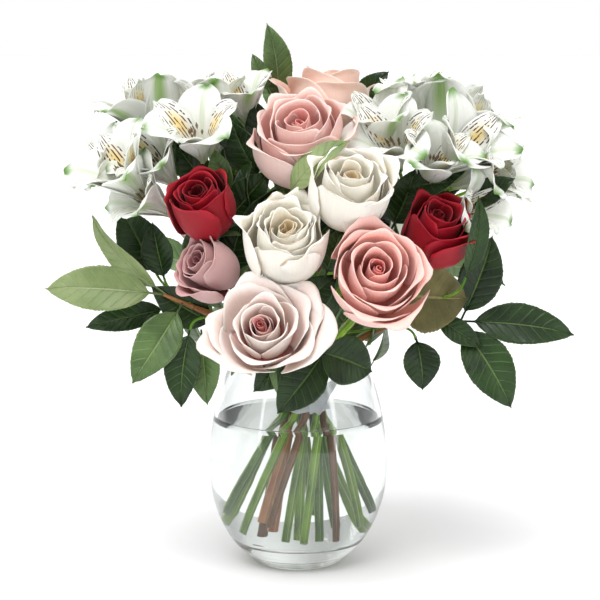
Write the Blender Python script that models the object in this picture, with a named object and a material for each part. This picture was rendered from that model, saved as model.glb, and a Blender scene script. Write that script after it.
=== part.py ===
"""Roses and Peruvian lilies in a glass vase, modelled at real size.

The vase stands on z = 0 with its axis on Z, and the bouquet's show side faces -Y. The stems are a
hand-tied bunch: they cross at a waist just above the water, where a clear band ties them, and lean
out in one turning direction below it. Run with: blender --background --python part.py
"""

import math

import bmesh
import bpy
from mathutils import Matrix, Vector

MM = 0.001

# ---------------------------------------------------------------- vase and water
VASE_HEIGHT = 148 * MM
BELLY_RADIUS = 63 * MM
BELLY_HEIGHT = 69 * MM
MOUTH_RADIUS = 45.5 * MM
FOOT_RADIUS = 30 * MM
WALL = 3 * MM
FLOOR_THICKNESS = 17 * MM
FLOOR_FILLET = 5 * MM
FOOT_CHAMFER = 1.2 * MM
WATER_BELOW_RIM = 44 * MM
WATER_LEVEL = VASE_HEIGHT - WATER_BELOW_RIM
VASE_STEPS = 32
GAP = 0.3 * MM  # clearance between pieces that touch

# ---------------------------------------------------------------- the tied bunch
WAIST_BELOW_RIM = 30 * MM
WAIST = Vector((4 * MM, 0, VASE_HEIGHT - WAIST_BELOW_RIM))
STEM_RADIUS = 2.6 * MM
STEM_SIDES = 8
STEM_POINTS = 8  # along the bend from the waist to the flower
START_PULL = 1.3  # how long a stem keeps its lean before it bends to its flower
END_PULL = 0.5
STEM_SPACE = 1.7 * MM  # between neighbouring stems at the waist
RIM_ROOM = 1.6 * MM  # between a stem and the mouth of the vase
FOOT_ROOM = 7.5 * MM  # between the outer feet and the glass
FOOT_LIFT = 8 * MM  # from the vase's floor to the lowest feet
FOOT_STEP = 3.5 * MM  # neighbouring stems are cut to different lengths
SPIRAL_TURN = math.radians(52)
TIE_HEIGHT = 16 * MM
TIE_WALL = 0.8 * MM
TIE_GAP = 1.2 * MM  # from the outer stems to the band
TIE_STEPS = 24
TIE_FLARE = 2.2 * MM  # the band is this much wider at its edges than at the waist
HIP_RADIUS = 4.4 * MM
HIP_LENGTH = 9 * MM
SEAT_GAP = 0.6 * MM  # from a stem's end to the flower that sits on it

# ---------------------------------------------------------------- flowers
# Places in these tables are (x, y, height over the vase's rim) in mm.
# name: centre, azimuth and elevation it faces in degrees, radius, height, openness.
# Azimuth 0 faces -Y and 90 faces +X. Openness 0 is a cup and 1 a flat bloom.
ROSES = {
    "rose_blush_front": ((-21, -103, 35), -6, 38, 45, 38, 0.9),
    "rose_coral_right": ((55, -90, 67), 8, 28, 35, 44, 0.4),
    "rose_cream_centre": ((-11, -75, 97), 2, 50, 30, 42, 0.1),
    "rose_red_left": ((-67, -56, 115), -24, 52, 26, 42, 0.0),
    "rose_red_right": ((96, -50, 97), 28, 52, 27, 42, 0.1),
    "rose_mauve_left": ((-67, -60, 65), -48, 30, 24, 38, 0.1),
    "rose_pink_back": ((-62, 62, 90), 210, 44, 33, 44, 0.4),
    "rose_cream_back": ((60, 66, 88), 150, 42, 33, 44, 0.3),
    "rose_red_back": ((0, 80, 56), 180, 28, 28, 42, 0.1),
    "rose_pink_upper": ((-1, -26, 151), -10, 52, 36, 46, 0.3),
    "rose_cream_upper": ((38, -69, 125), 12, 48, 30, 44, 0.2),
    "rose_peach_top": ((20, 26, 171), 160, 76, 33, 44, 0.4),
}
ROSE_STEPS = 16
ROSE_SEAT = 4.6 * MM

# name: foot of the flower, middle of its mouth, mouth radius
LILIES_LEFT = {
    "lily_left_low": ((-100, -22, 109), (-127, -44, 144), 25),
    "lily_left_mid": ((-64, -14, 136), (-72, -40, 170), 24),
    "lily_left_top": ((-98, 10, 143), (-118, 6, 182), 21),
    "lily_left_back": ((-72, 18, 152), (-80, 24, 188), 20),
    "lily_top": ((-34, 12, 158), (-40, 4, 190), 19),
}
LILIES_RIGHT = {
    "lily_right_mid": ((70, -14, 131), (62, -40, 162), 23),
    "lily_right_low": ((96, -12, 127), (121, -34, 158), 25),
    "lily_right_top": ((86, 12, 151), (80, 10, 190), 22),
    "lily_far_right": ((118, 8, 114), (150, 2, 128), 19),
}
LILIES_BACK = {
    "lily_back_left": ((-24, 66, 114), (-34, 92, 144), 22),
    "lily_back_right": ((22, 66, 122), (28, 94, 152), 22),
}
# Where each lily stem divides, and the florets that it carries
LILY_STEMS = {
    "lily_stem_left": ((-66, 6, 84), LILIES_LEFT),
    "lily_stem_right": ((78, 4, 88), LILIES_RIGHT),
    "lily_stem_back": ((0, 46, 80), LILIES_BACK),
}
PEDICEL_RADIUS = 1.3 * MM
LILY_STEPS = 12

# ---------------------------------------------------------------- leaves
# name: foot and tip, the way the upper side faces, width, bulge, and the stem and the height on it
# where the leaf grows
LEAVES = {
    "leaf_left_behind": ((-97, -8, 56), (-123, -6, 105), (-0.1, -1, 0.3), 30, 3, "sprig_left", 30),
    "leaf_left_upright": ((-91, -30, 56), (-100, -26, 97), (-0.2, -1, 0.1), 22, 2, "sprig_left", 39),
    "leaf_left_low": ((-88, -12, 36), (-148, -14, 23), (-0.1, -1, 0.5), 20, 4, "sprig_left", 20),
    "leaf_down_left": ((-73, -48, 29), (-80, -58, -25), (-0.25, -1, 0), 25, 3, "stem_mauve_left", 20),
    "leaf_front_down": ((22, -60, 18), (-14, -70, -27), (-0.1, -1, 0.1), 36, 4, "stem_blush_front", 8),
    "leaf_front_right": ((12, -80, 14), (49, -76, -4), (0.1, -1, 0.15), 35, 3, "stem_blush_front", 14),
    "leaf_olive_round": ((60, -53, 52), (116, -45, 47), (0.1, -1, -0.1), 46, 3, "stem_coral_right", 38),
    "leaf_down_right": ((80, -46, 22), (85, -54, -14), (0.15, -1, 0), 25, 3, "stem_coral_right", 22),
    "leaf_over_red": ((121, -62, 70), (121, -72, 120), (0.5, -1, 0.2), 16, 2, "stem_red_right", 66),
    "leaf_right_top": ((116, -26, 108), (146, -40, 129), (0.1, -1, 0.4), 18, 2, "lily_stem_right", 64),
    "leaf_top": ((-14, 54, 170), (-21, 47, 229), (0.4, -1, 0.1), 22, 4, "stem_peach_top", 98),
    "leaf_top_right": ((40, 62, 168), (64, 54, 195), (-0.3, -1, 0.3), 20, 3, "stem_peach_top", 108),
    "leaf_back_top": ((2, 66, 158), (-28, 78, 194), (0, 1, 0.2), 24, 4, "stem_peach_top", 84),
    "leaf_back_low": ((26, 72, 24), (54, 94, -8), (0.2, 1, 0.3), 30, 4, "stem_red_back", 12),
    "leaf_back_down": ((-38, 62, 28), (-60, 88, -10), (-0.2, 1, 0.3), 30, 4, "stem_pink_back", 24),
    "leaf_back_left": ((-70, 40, 56), (-124, 62, 60), (-0.2, 1, 0.5), 30, 5, "stem_pink_back", 42),
}
# A sprig's twig runs through these points, and each leaf is as above
SPRIGS = {
    "sprig_left": (
        ((-76, -36, 42), (-92, -37, 49)),
        (
            ((-92, -37, 49), (-175, -26, 52), (0.1, -1, 0.35), 31, 5),
            ((-90, -37, 49), (-142, -34, 101), (-0.8, -0.6, 0.1), 20, 4),
            ((-79, -38, 43), (-113, -54, -9), (-0.2, -1, 0.1), 30, 4),
        ),
    ),
    "sprig_right": (
        ((98, -34, 32), (112, -34, 30)),
        (
            ((112, -34, 31), (134, -26, 88), (0.2, -1, 0.2), 30, 4),
            ((112, -34, 30), (191, -28, 20), (0.1, -1, 0.4), 28, 5),
            ((110, -34, 29), (147, -44, -29), (0.1, -1, 0.2), 32, 5),
        ),
    ),
    "sprig_back": (
        ((84, 56, 46), (100, 68, 56)),
        (
            ((100, 68, 56), (138, 96, 88), (0.5, 1, 0.4), 28, 4),
            ((99, 67, 55), (152, 84, 38), (0.4, 1, 0.5), 28, 5),
            ((96, 66, 54), (100, 100, 2), (0.2, 1, 0.2), 28, 4),
        ),
    ),
}
LEAF_THICKNESS = 0.9 * MM
LEAF_ROWS = 8
LEAF_FOLD = math.tan(math.radians(14))
LEAF_WIDEST = 0.42  # share of the blade's length from its foot
STALK_SHARE = 0.12
STALK_HALF_WIDTH = 0.9 * MM
TWIG_RADIUS = 1.7 * MM
STALK_RADIUS = 1.1 * MM
STALK_LAP = 3 * MM  # how far a stalk runs into its blade

# Which stem stands where at the waist, in order round each ring from +X towards +Y
BUNCH = {
    "centre": ("rose_cream_upper",),
    "inner": (
        "rose_peach_top",
        "lily_stem_back",
        "rose_pink_upper",
        "rose_red_left",
        "rose_cream_centre",
        "rose_red_right",
    ),
    "outer": (
        "sprig_back",
        "rose_cream_back",
        "rose_red_back",
        "rose_pink_back",
        "lily_stem_left",
        "sprig_left",
        "rose_mauve_left",
        "rose_blush_front",
        "rose_coral_right",
        "sprig_right",
        "lily_stem_right",
    ),
}

COLOURS = {
    "glass": ((0.86, 0.90, 0.89), 0.05),
    "water": ((0.80, 0.86, 0.85), 0.05),
    "tie": ((0.86, 0.88, 0.93), 0.4),
    "stem": ((0.26, 0.40, 0.12), 0.5),
    "twig": ((0.36, 0.24, 0.13), 0.6),
    "leaf": ((0.08, 0.17, 0.05), 0.4),
    "lily": ((0.86, 0.87, 0.82), 0.5),
    "blush": ((0.86, 0.74, 0.68), 0.55),
    "coral": ((0.88, 0.50, 0.44), 0.55),
    "cream": ((0.90, 0.87, 0.76), 0.55),
    "red": ((0.42, 0.01, 0.03), 0.5),
    "mauve": ((0.55, 0.30, 0.32), 0.55),
    "pink": ((0.88, 0.62, 0.58), 0.55),
    "peach": ((0.90, 0.60, 0.50), 0.55),
}


def clear_scene():
    for obj in list(bpy.data.objects):
        bpy.data.objects.remove(obj)


def material(name):
    """The named plain material, made once."""
    found = bpy.data.materials.get(name)
    if found:
        return found
    made = bpy.data.materials.new(name)
    made.use_nodes = True
    colour, roughness = COLOURS[name]
    shader = made.node_tree.nodes["Principled BSDF"]
    shader.inputs["Base Color"].default_value = (*colour, 1)
    shader.inputs["Roughness"].default_value = roughness
    shader.inputs["Metallic"].default_value = 0
    return made


def empty(name):
    made = bpy.data.objects.new(name, None)
    bpy.context.scene.collection.objects.link(made)
    return made


def add_object(name, mesh, colour, parent):
    made = bpy.data.objects.new(name, mesh)
    mesh.materials.clear()
    mesh.materials.append(material(colour))
    mesh.shade_smooth()
    mesh.set_sharp_from_angle(angle=math.radians(40))
    bpy.context.scene.collection.objects.link(made)
    made.parent = parent
    return made


def as_helper(obj):
    """A piece that only cuts or joins, and isn't part of the object itself."""
    obj.hide_render = True
    obj.display_type = "WIRE"
    return obj


def join_or_cut(obj, other, operation):
    boolean = obj.modifiers.new(f"{operation.lower()}_{other.name}", "BOOLEAN")
    boolean.operation = operation
    boolean.solver = "EXACT"
    boolean.object = as_helper(other)


def place(spot):
    """A point in the world from a table's (x, y, height over the rim) in mm."""
    return Vector(spot) * MM + Vector((0, 0, VASE_HEIGHT))


def facing(azimuth, elevation):
    """The direction a flower faces, from degrees."""
    turn, lift = math.radians(azimuth), math.radians(elevation)
    return Vector((math.sin(turn) * math.cos(lift), -math.cos(turn) * math.cos(lift), math.sin(lift)))


def turned_mesh(name, profile, steps):
    """A closed solid of revolution about Z. Its outline is (radius, z) pairs, closed or from axis to axis."""
    mesh, bm = bpy.data.meshes.new(name), bmesh.new()
    points = [bm.verts.new((radius, 0, z)) for radius, z in profile]
    lines = [bm.edges.new(pair) for pair in zip(points, points[1:])]
    bmesh.ops.spin(
        bm,
        geom=points + lines,
        cent=(0, 0, 0),
        axis=(0, 0, 1),
        angle=math.tau,
        steps=steps,
    )
    bmesh.ops.remove_doubles(bm, verts=bm.verts, dist=0.01 * MM)
    bmesh.ops.recalc_face_normals(bm, faces=bm.faces)
    bm.to_mesh(mesh)
    bm.free()
    return mesh


def tube_mesh(name, points, radii, sides=STEM_SIDES):
    """A closed round tube along the points, with a radius at each of them."""
    curve = bpy.data.curves.new(name, "CURVE")
    curve.dimensions = "3D"
    curve.bevel_depth = 1
    curve.bevel_resolution = sides // 2 - 2
    curve.use_fill_caps = True
    spline = curve.splines.new("POLY")
    spline.points.add(len(points) - 1)
    for spot, place, radius in zip(spline.points, points, radii):
        spot.co = (*place, 1)
        spot.radius = radius
    holder = bpy.data.objects.new(name, curve)
    mesh = bpy.data.meshes.new_from_object(holder)
    bpy.data.objects.remove(holder)
    bpy.data.curves.remove(curve)
    bm = bmesh.new()
    bm.from_mesh(mesh)
    bmesh.ops.remove_doubles(bm, verts=bm.verts, dist=0.01 * MM)
    bmesh.ops.recalc_face_normals(bm, faces=bm.faces)
    bm.to_mesh(mesh)
    bm.free()
    return mesh


def half_axis(height, end_radius):
    """Half axis of the ellipse that leads from the belly to a radius at that height from it."""
    return height / math.sqrt(1 - (end_radius / BELLY_RADIUS) ** 2)


def vase_radius(z):
    """Outer radius of the vase, two half ellipses that meet at the belly."""
    if z > BELLY_HEIGHT:
        axis = half_axis(VASE_HEIGHT - BELLY_HEIGHT, MOUTH_RADIUS)
    else:
        axis = half_axis(BELLY_HEIGHT, FOOT_RADIUS)
    return BELLY_RADIUS * math.sqrt(1 - ((z - BELLY_HEIGHT) / axis) ** 2)


def heights(low, high, count):
    return [low + (high - low) * i / (count - 1) for i in range(count)]


def inner_profile():
    """From the middle of the vase's floor, over the fillet and up the inner wall to the rim."""
    middle = FLOOR_THICKNESS + FLOOR_FILLET
    wall = vase_radius(middle) - WALL
    points = [(0, FLOOR_THICKNESS)]
    for i in range(5):
        angle = math.radians(90 - 22.5 * i)
        points.append((wall - FLOOR_FILLET * (1 - math.cos(angle)), middle - FLOOR_FILLET * math.sin(angle)))
    for z in heights(middle, VASE_HEIGHT - WALL / 2, 8)[1:]:
        points.append((vase_radius(z) - WALL, z))
    return points


def water_profile():
    """The vase's inner profile up to the water level, moved clear of the glass."""
    points = [(max(radius - GAP, 0), z + GAP) for radius, z in inner_profile()]
    wet = [point for point in points if point[1] < WATER_LEVEL]
    (low_radius, low), (high_radius, high) = wet[-1], points[len(wet)]
    share = (WATER_LEVEL - low) / (high - low)
    return wet + [(low_radius + share * (high_radius - low_radius), WATER_LEVEL), (0, WATER_LEVEL)]


def build_vase(parent):
    outside = [(0, 0), (FOOT_RADIUS - FOOT_CHAMFER, 0)]
    rim_low = VASE_HEIGHT - WALL / 2
    outside += [(vase_radius(z), z) for z in heights(FOOT_CHAMFER, rim_low, 12)]
    middle = vase_radius(rim_low) - WALL / 2
    rim = [
        (middle + WALL / 2 * math.cos(angle), rim_low + WALL / 2 * math.sin(angle))
        for angle in (math.radians(a) for a in (45, 90, 135))
    ]
    inside = inner_profile()[::-1]
    mesh = turned_mesh("vase", outside + rim + inside, VASE_STEPS)
    return add_object("vase", mesh, "glass", parent)


def build_water(parent, stems):
    """The water fills the vase to its level and stands clear of the glass and of every stem."""
    water = add_object("water", turned_mesh("water", water_profile(), VASE_STEPS), "water", parent)
    for name, (points, radii) in stems.items():
        cutter_mesh = tube_mesh(f"{name}_room", points, [radius + GAP for radius in radii])
        join_or_cut(water, add_object(f"{name}_room", cutter_mesh, "water", parent), "DIFFERENCE")
    return water


def build_tie(parent):
    """A band of clear tape, a little waisted, round the whole bunch."""
    inner = bunch_radius() + STEM_RADIUS + TIE_GAP
    edge = inner + TIE_FLARE
    low, high = -TIE_HEIGHT / 2, TIE_HEIGHT / 2
    section = [
        (edge, low),
        (edge + TIE_WALL, low),
        (inner + TIE_WALL, 0),
        (edge + TIE_WALL, high),
        (edge, high),
        (inner, 0),
        (edge, low),
    ]
    tie = add_object("tie", turned_mesh("tie", section, TIE_STEPS), "tie", parent)
    tie.location = WAIST
    return tie


def bunch_radius():
    """Radius of the circle on which the outer stems stand at the waist."""
    return (2 * STEM_RADIUS + STEM_SPACE) / (2 * math.sin(math.pi / len(BUNCH["outer"])))


def foot_spread():
    """How far the outer feet stand from the middle of the vase."""
    return vase_radius(FLOOR_THICKNESS + FOOT_LIFT) - WALL - FOOT_ROOM - STEM_RADIUS


def stand_in_bunch():
    """Where each stem passes the waist and where its cut foot is, as {name: (waist point, foot point)}."""
    shares = {"centre": 0, "inner": 0.5, "outer": 1}
    places = {}
    for ring, share in shares.items():
        waist_radius, foot_radius = share * bunch_radius(), share * foot_spread()
        for i, name in enumerate(BUNCH[ring]):
            angle = math.tau * i / len(BUNCH[ring])
            below = angle - SPIRAL_TURN
            foot_z = FLOOR_THICKNESS + FOOT_LIFT + FOOT_STEP * (i * 2 % 5)
            waist = WAIST + waist_radius * Vector((math.cos(angle), math.sin(angle), 0))
            foot = Vector((foot_radius * math.cos(below), foot_radius * math.sin(below), foot_z))
            places[name] = waist, foot
    return places


def hermite(start, start_way, end, end_way, count):
    """Points on a smooth curve from start to end, both included."""
    reach = (end - start).length
    points = []
    for i in range(count):
        t = i / (count - 1)
        points.append(
            (2 * t**3 - 3 * t**2 + 1) * start
            + (t**3 - 2 * t**2 + t) * reach * start_way
            + (3 * t**2 - 2 * t**3) * end
            + (t**3 - t**2) * reach * end_way
        )
    return points


def inside_mouth(points):
    """Draws a stem's points in, where they would come too near the vase's mouth."""
    limit = MOUTH_RADIUS - WALL - STEM_RADIUS - RIM_ROOM
    crossing = next(point for point in points if point.z > VASE_HEIGHT)
    pull = min(1, limit / math.hypot(crossing.x, crossing.y))
    top = points[-1]
    for point in points:
        share = max(0, (point.z - crossing.z) / (top.z - crossing.z))
        if point.z > WAIST.z:
            factor = pull + (1 - pull) * share
            point.x *= factor
            point.y *= factor
    return points


def stem_path(top, top_way, stand, straight=5 * MM):
    """Points from the cut foot through the waist to the flower."""
    waist, foot = stand
    lean = (waist - foot).normalized()
    below = [foot.lerp(waist, share) for share in (0, 0.5)]
    neck = top - straight * top_way
    bend = hermite(waist, START_PULL * lean, neck, END_PULL * top_way, STEM_POINTS)
    return below + inside_mouth(bend) + [top]


def rose_stem(top, top_way, stand):
    """A rose's stem: its path, and its radii with the hip under the flower."""
    points = stem_path(top, top_way, stand, HIP_LENGTH)
    radii = [STEM_RADIUS] * (len(points) - 1) + [HIP_RADIUS]
    return points, radii


def rose_profile(radius, height, openness):
    """Outline of a rose's petals, from its seat out to the rim and in to the heart."""
    rim = 0.72 - 0.1 * openness  # height of the widest ring
    waist = 0.62 - 0.14 * openness
    shares = [
        (waist, 0.10),
        (0.86 - 0.1 * openness, 0.34),
        (1.0, rim),
        (0.86 + 0.06 * openness, rim + 0.16),
        (0.6, 1.0),
        (0.26, 0.93),
    ]
    points = [(0, 0), (ROSE_SEAT, 0)]
    points += [(radius * out, height * up) for out, up in shares]
    return points + [(0, 0.88 * height)]


def build_rose(name, spec, parent):
    """The petals of one rose as one solid, and the point and direction of its seat."""
    centre, azimuth, elevation, radius, height, openness = spec
    way = facing(azimuth, elevation)
    seat = place(centre) - way * height * MM / 2
    mesh = turned_mesh(name, rose_profile(radius * MM, height * MM, openness), ROSE_STEPS)
    rose = add_object(name, mesh, name.split("_")[1], parent)
    rose.location = seat
    rose.rotation_euler = way.to_track_quat("Z", "Y").to_euler()
    return seat - SEAT_GAP * way, way


def lily_mesh(name, length, mouth):
    """A flared flower with six tepals: a thin-walled funnel whose rim runs out into six points."""
    # share of the length, share of the mouth radius between the tepals, and at a tepal's middle
    tube = [(0, 0.08, 0.08), (0.14, 0.15, 0.15), (0.3, 0.2, 0.2)]
    flare = [(0.6, 0.36, 0.4), (0.84, 0.5, 0.72), (1, 0.56, 1)]
    inside = [(0.86, 0.42, 0.64), (0.62, 0.26, 0.3), (0.36, 0.09, 0.09)]
    mesh, bm = bpy.data.meshes.new(name), bmesh.new()
    rings = []
    for along, valley, peak in tube + flare + inside:
        ring = []
        for i in range(LILY_STEPS):
            angle = math.tau * i / LILY_STEPS
            out = mouth * (peak if i % 2 == 0 else valley)
            ring.append(bm.verts.new((out * math.cos(angle), out * math.sin(angle), along * length)))
        rings.append(ring)
    for low, high in zip(rings, rings[1:]):
        for i in range(LILY_STEPS):
            j = (i + 1) % LILY_STEPS
            bm.faces.new((low[i], low[j], high[j], high[i]))
    bm.faces.new(rings[0])
    bm.faces.new(rings[-1])
    bmesh.ops.triangulate(bm, faces=bm.faces)
    bmesh.ops.recalc_face_normals(bm, faces=bm.faces)
    bm.to_mesh(mesh)
    bm.free()
    return mesh


def build_lily(name, spec, parent):
    """One lily flower, and the point and direction where its stalk meets it."""
    foot, mouth, radius = spec
    start, end = place(foot), place(mouth)
    way = (end - start).normalized()
    lily = add_object(name, lily_mesh(name, (end - start).length, radius * MM), "lily", parent)
    lily.location = start
    lily.rotation_euler = way.to_track_quat("Z", "Y").to_euler()
    return start - SEAT_GAP * way, way


def build_lily_stem(name, umbel, tops, stand, parent):
    """One stem that divides into a stalk for each of its flowers. Returns its path below the flowers."""
    rise = Vector((umbel.x * 0.4, umbel.y * 0.4, umbel.z - WAIST.z)).normalized()
    points = stem_path(umbel, rise, stand)
    radii = [STEM_RADIUS] * (len(points) - 1) + [STEM_RADIUS * 0.9]
    stem = add_object(name, tube_mesh(name, points, radii), "stem", parent)
    for i, (top, way) in enumerate(tops):
        stalk = hermite(umbel - 2 * MM * rise, rise, top - 3 * MM * way, way, 6) + [top]
        mesh = tube_mesh(f"{name}_stalk_{i}", stalk, [PEDICEL_RADIUS] * len(stalk), 6)
        join_or_cut(stem, add_object(f"{name}_stalk_{i}", mesh, "stem", parent), "UNION")
    return points, radii


def blade_share(s):
    """Half width of a blade, from 0 to 1, at a share s of its length."""
    near = 0.7
    far = near * (1 - LEAF_WIDEST) / LEAF_WIDEST
    return (s / LEAF_WIDEST) ** near * ((1 - s) / (1 - LEAF_WIDEST)) ** far


def leaf_frame(foot, tip, upper):
    """A matrix at the leaf's foot: X across the blade, Y to its tip, Z out of its upper side."""
    along = (tip - foot).normalized()
    across = along.cross(upper).normalized()
    normal = across.cross(along)
    frame = Matrix((across, along, normal)).transposed().to_4x4()
    return Matrix.Translation(foot) @ frame


def build_blade(name, spec, parent):
    """A blade with a short stalk: a grid bent to the leaf's outline, fold and bulge, then thickened."""
    foot, tip, upper, width, bulge = spec
    start, end = place(foot), place(tip)
    length = (end - start).length
    mesh, bm = bpy.data.meshes.new(name), bmesh.new()
    bmesh.ops.create_grid(bm, x_segments=2, y_segments=LEAF_ROWS, size=1)
    for vert in bm.verts:
        side, along = vert.co.x, (vert.co.y + 1) / 2
        s = (along - STALK_SHARE) / (1 - STALK_SHARE)
        half = STALK_HALF_WIDTH
        if 0 < s < 1:
            half = max(half * (1 - s) + 0.2 * MM, width * MM / 2 * blade_share(s))
        elif s >= 1:
            half = 0.3 * MM
        lift = bulge * MM * math.sin(math.pi * along)
        vert.co = (side * half, along * length, lift + abs(side) * half * LEAF_FOLD)
    bm.to_mesh(mesh)
    bm.free()
    leaf = add_object(name, mesh, "leaf", parent)
    leaf.matrix_world = leaf_frame(start, end, Vector(upper))
    shell = leaf.modifiers.new("thickness", "SOLIDIFY")
    shell.thickness = LEAF_THICKNESS
    shell.offset = 0
    return leaf


def point_at_height(path, height):
    """The place, direction and radius of a rising stem at that height."""
    points, radii = path
    for low, high, radius in zip(points, points[1:], radii):
        if low.z <= height <= high.z:
            return low.lerp(high, (height - low.z) / (high.z - low.z)), (high - low).normalized(), radius
    raise ValueError(f"no stem at the height {height}")


def build_leaf(name, spec, stems, parent):
    """A single leaf, whose stalk reaches back to the stem that it grows on."""
    host, height = spec[5:]
    foot, tip = place(spec[0]), place(spec[1])
    leaf = build_blade(name, spec[:5], parent)
    origin, rise, radius = point_at_height(stems[host], VASE_HEIGHT + height * MM)
    out, way = (foot - origin).normalized(), (tip - foot).normalized()
    square = (out - out.dot(rise) * rise).normalized()
    slant = math.sqrt(1 - out.dot(square) ** 2)  # a slanting stalk's end needs more room
    start = origin + (radius + GAP + STALK_RADIUS * slant) * square
    stalk = hermite(start, out, foot + STALK_LAP * way, way, 5)
    mesh = tube_mesh(f"{name}_stalk", stalk, [STALK_RADIUS] * len(stalk), 6)
    join_or_cut(leaf, add_object(f"{name}_stalk", mesh, "leaf", parent), "UNION")
    return leaf


def build_sprig(name, spec, stand, parent):
    """A twig that comes up through the waist and carries its leaves, grown as one piece."""
    (bend, fork), leaves = spec
    bend, fork = place(bend), place(fork)
    way = (fork - bend).normalized()
    points = stem_path(bend, way, stand) + [fork]
    radii = [STEM_RADIUS * 0.9] * (len(points) - 3) + [TWIG_RADIUS] * 3
    twig = add_object(name, tube_mesh(name, points, radii), "twig", parent)
    for i, leaf in enumerate(leaves):
        join_or_cut(twig, build_blade(f"{name}_blade_{i}", leaf, parent), "UNION")
    return points, radii


def build():
    clear_scene()
    holder, flowers, foliage = (empty(name) for name in ("holder", "flowers", "foliage"))
    build_vase(holder)
    build_tie(holder)

    seats = {name: build_rose(name, spec, flowers) for name, spec in ROSES.items()}
    stands = stand_in_bunch()
    stems = {}
    for name, (top, way) in seats.items():
        points, radii = rose_stem(top, way, stands[name])
        stem_name = f"stem_{name[5:]}"
        stems[stem_name] = points, radii
        add_object(stem_name, tube_mesh(stem_name, points, radii), "stem", flowers)
    for name, (umbel, florets) in LILY_STEMS.items():
        tops = [build_lily(floret, spec, flowers) for floret, spec in florets.items()]
        stems[name] = build_lily_stem(name, place(umbel), tops, stands[name], flowers)
    for name, spec in SPRIGS.items():
        stems[name] = build_sprig(name, spec, stands[name], foliage)
    for name, spec in LEAVES.items():
        build_leaf(name, spec, stems, foliage)
    build_water(holder, stems)


build()
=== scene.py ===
# %% [markdown]
# # Roses and white lilies in a glass vase
# Twelve roses, twenty-two small lilies and their foliage stand in a belly-shaped glass vase, about two
# thirds full of water. The CAD model gives the pieces their places and sizes. This script loads it,
# measures each CAD node, and builds the fine piece that stands for it: thin petals, veined leaves, round
# stems, clear glass. Eleven lilies, the filler leaves and the inner leaves have no CAD node, and only
# close gaps. All lengths are in metres, +Z is up and -Y is the front.

import math

import bpy
import numpy as np
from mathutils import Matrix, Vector


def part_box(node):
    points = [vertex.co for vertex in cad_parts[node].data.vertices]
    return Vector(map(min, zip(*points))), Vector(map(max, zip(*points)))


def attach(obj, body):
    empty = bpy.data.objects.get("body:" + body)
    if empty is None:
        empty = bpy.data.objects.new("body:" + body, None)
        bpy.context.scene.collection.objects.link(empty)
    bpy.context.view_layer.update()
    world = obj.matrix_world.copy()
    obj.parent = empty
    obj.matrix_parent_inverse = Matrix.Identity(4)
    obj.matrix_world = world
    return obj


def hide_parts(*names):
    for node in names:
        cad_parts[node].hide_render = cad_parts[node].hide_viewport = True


MM = 0.001
TINY = 1e-6  # points closer than this are one point
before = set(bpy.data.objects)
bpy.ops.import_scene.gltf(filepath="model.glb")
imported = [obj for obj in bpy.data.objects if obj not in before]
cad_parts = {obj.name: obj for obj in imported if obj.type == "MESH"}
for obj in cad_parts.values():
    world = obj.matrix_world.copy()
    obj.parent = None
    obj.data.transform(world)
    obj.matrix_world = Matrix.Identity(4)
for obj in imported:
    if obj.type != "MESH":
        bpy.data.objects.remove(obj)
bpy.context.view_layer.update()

# %% [markdown]
# ## Measuring the CAD model
# A CAD node arrives as loose triangles. Welding its equal corners gives a proper net, in which a tube's
# rings follow each other from end to end. Walking from ring to ring gives each stem's middle line.

# %% Welding a node and following its rings
RING_CORNERS = 8
ROUND_ENOUGH = 1.3  # the most that a whole ring's largest radius may be of its smallest
FORK_WIDTH = 2  # a ring this many times wider than the first one belongs to a fork
RING_REACH = 6 * MM  # a ring's corners lie nearer to each other than this


def unit(way):
    return way / np.linalg.norm(way)


def welded(node):
    """A CAD node's corner points, and its triangles as rows of three corner numbers."""
    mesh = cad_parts[node].data
    mesh.calc_loop_triangles()
    points, corners = np.empty(len(mesh.vertices) * 3), np.empty(len(mesh.loop_triangles) * 3, int)
    mesh.vertices.foreach_get("co", points)
    mesh.loop_triangles.foreach_get("vertices", corners)
    points = points.reshape(-1, 3)
    _, first, number = np.unique(np.round(points / TINY), axis=0, return_index=True, return_inverse=True)
    return points[first], number.ravel()[corners].reshape(-1, 3)


def neighbours(points, triangles):
    near = [set() for _ in points]
    for a, b, c in triangles:
        near[a] |= {b, c}
        near[b] |= {a, c}
        near[c] |= {a, b}
    return near


def rings(node, size=RING_CORNERS):
    """The centre and radius of each ring of a stem, from its cut foot to the first fork."""
    points, triangles = welded(node)
    near = neighbours(points, triangles)
    ring, seen, centres, radii, ahead = list(np.argsort(points[:, 2])[:size]), set(), [], [], set()
    while len(ring) == size:
        spots = points[ring]
        out = np.linalg.norm(spots - spots.mean(0), axis=1)
        if out.max() < ROUND_ENOUGH * out.min():
            if radii and out.mean() > FORK_WIDTH * radii[0]:
                break
            centres.append(spots.mean(0))
            radii.append(out.mean())
            done = set(ring)
        else:  # a ring on a straight stretch may have lost some of its corners: pass it by
            done = {i for i in ring if np.linalg.norm(points[i] - spots[0]) < RING_REACH}
            if len(done) == size:
                break
        seen |= done
        ahead = (ahead if len(done) < size else set()).union(*(near[i] for i in done)) - seen
        while ahead and len(ahead) < size:
            wider = ahead.union(*(near[i] for i in ahead)) - seen
            if len(wider) == len(ahead):
                break
            ahead = wider
        ring = sorted(ahead, key=lambda i: np.linalg.norm(points[i] - centres[-1]))[:size]
    return np.array(centres), np.array(radii)


print("the CAD model has", len(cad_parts), "nodes")

# %% [markdown]
# ## Finding the flowers
# A bloom sits where its lowest corners meet its stem, and it faces from there towards its own middle. Its
# radius and length follow from how far its corners lie from that line and along it.

# %% Seats of the flowers
SEAT_REACH = 7 * MM  # a bloom's lowest corners lie nearer to its stem's end than this
FOOT_CORNERS = 12  # so many of a lily's corners make up its foot


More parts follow.
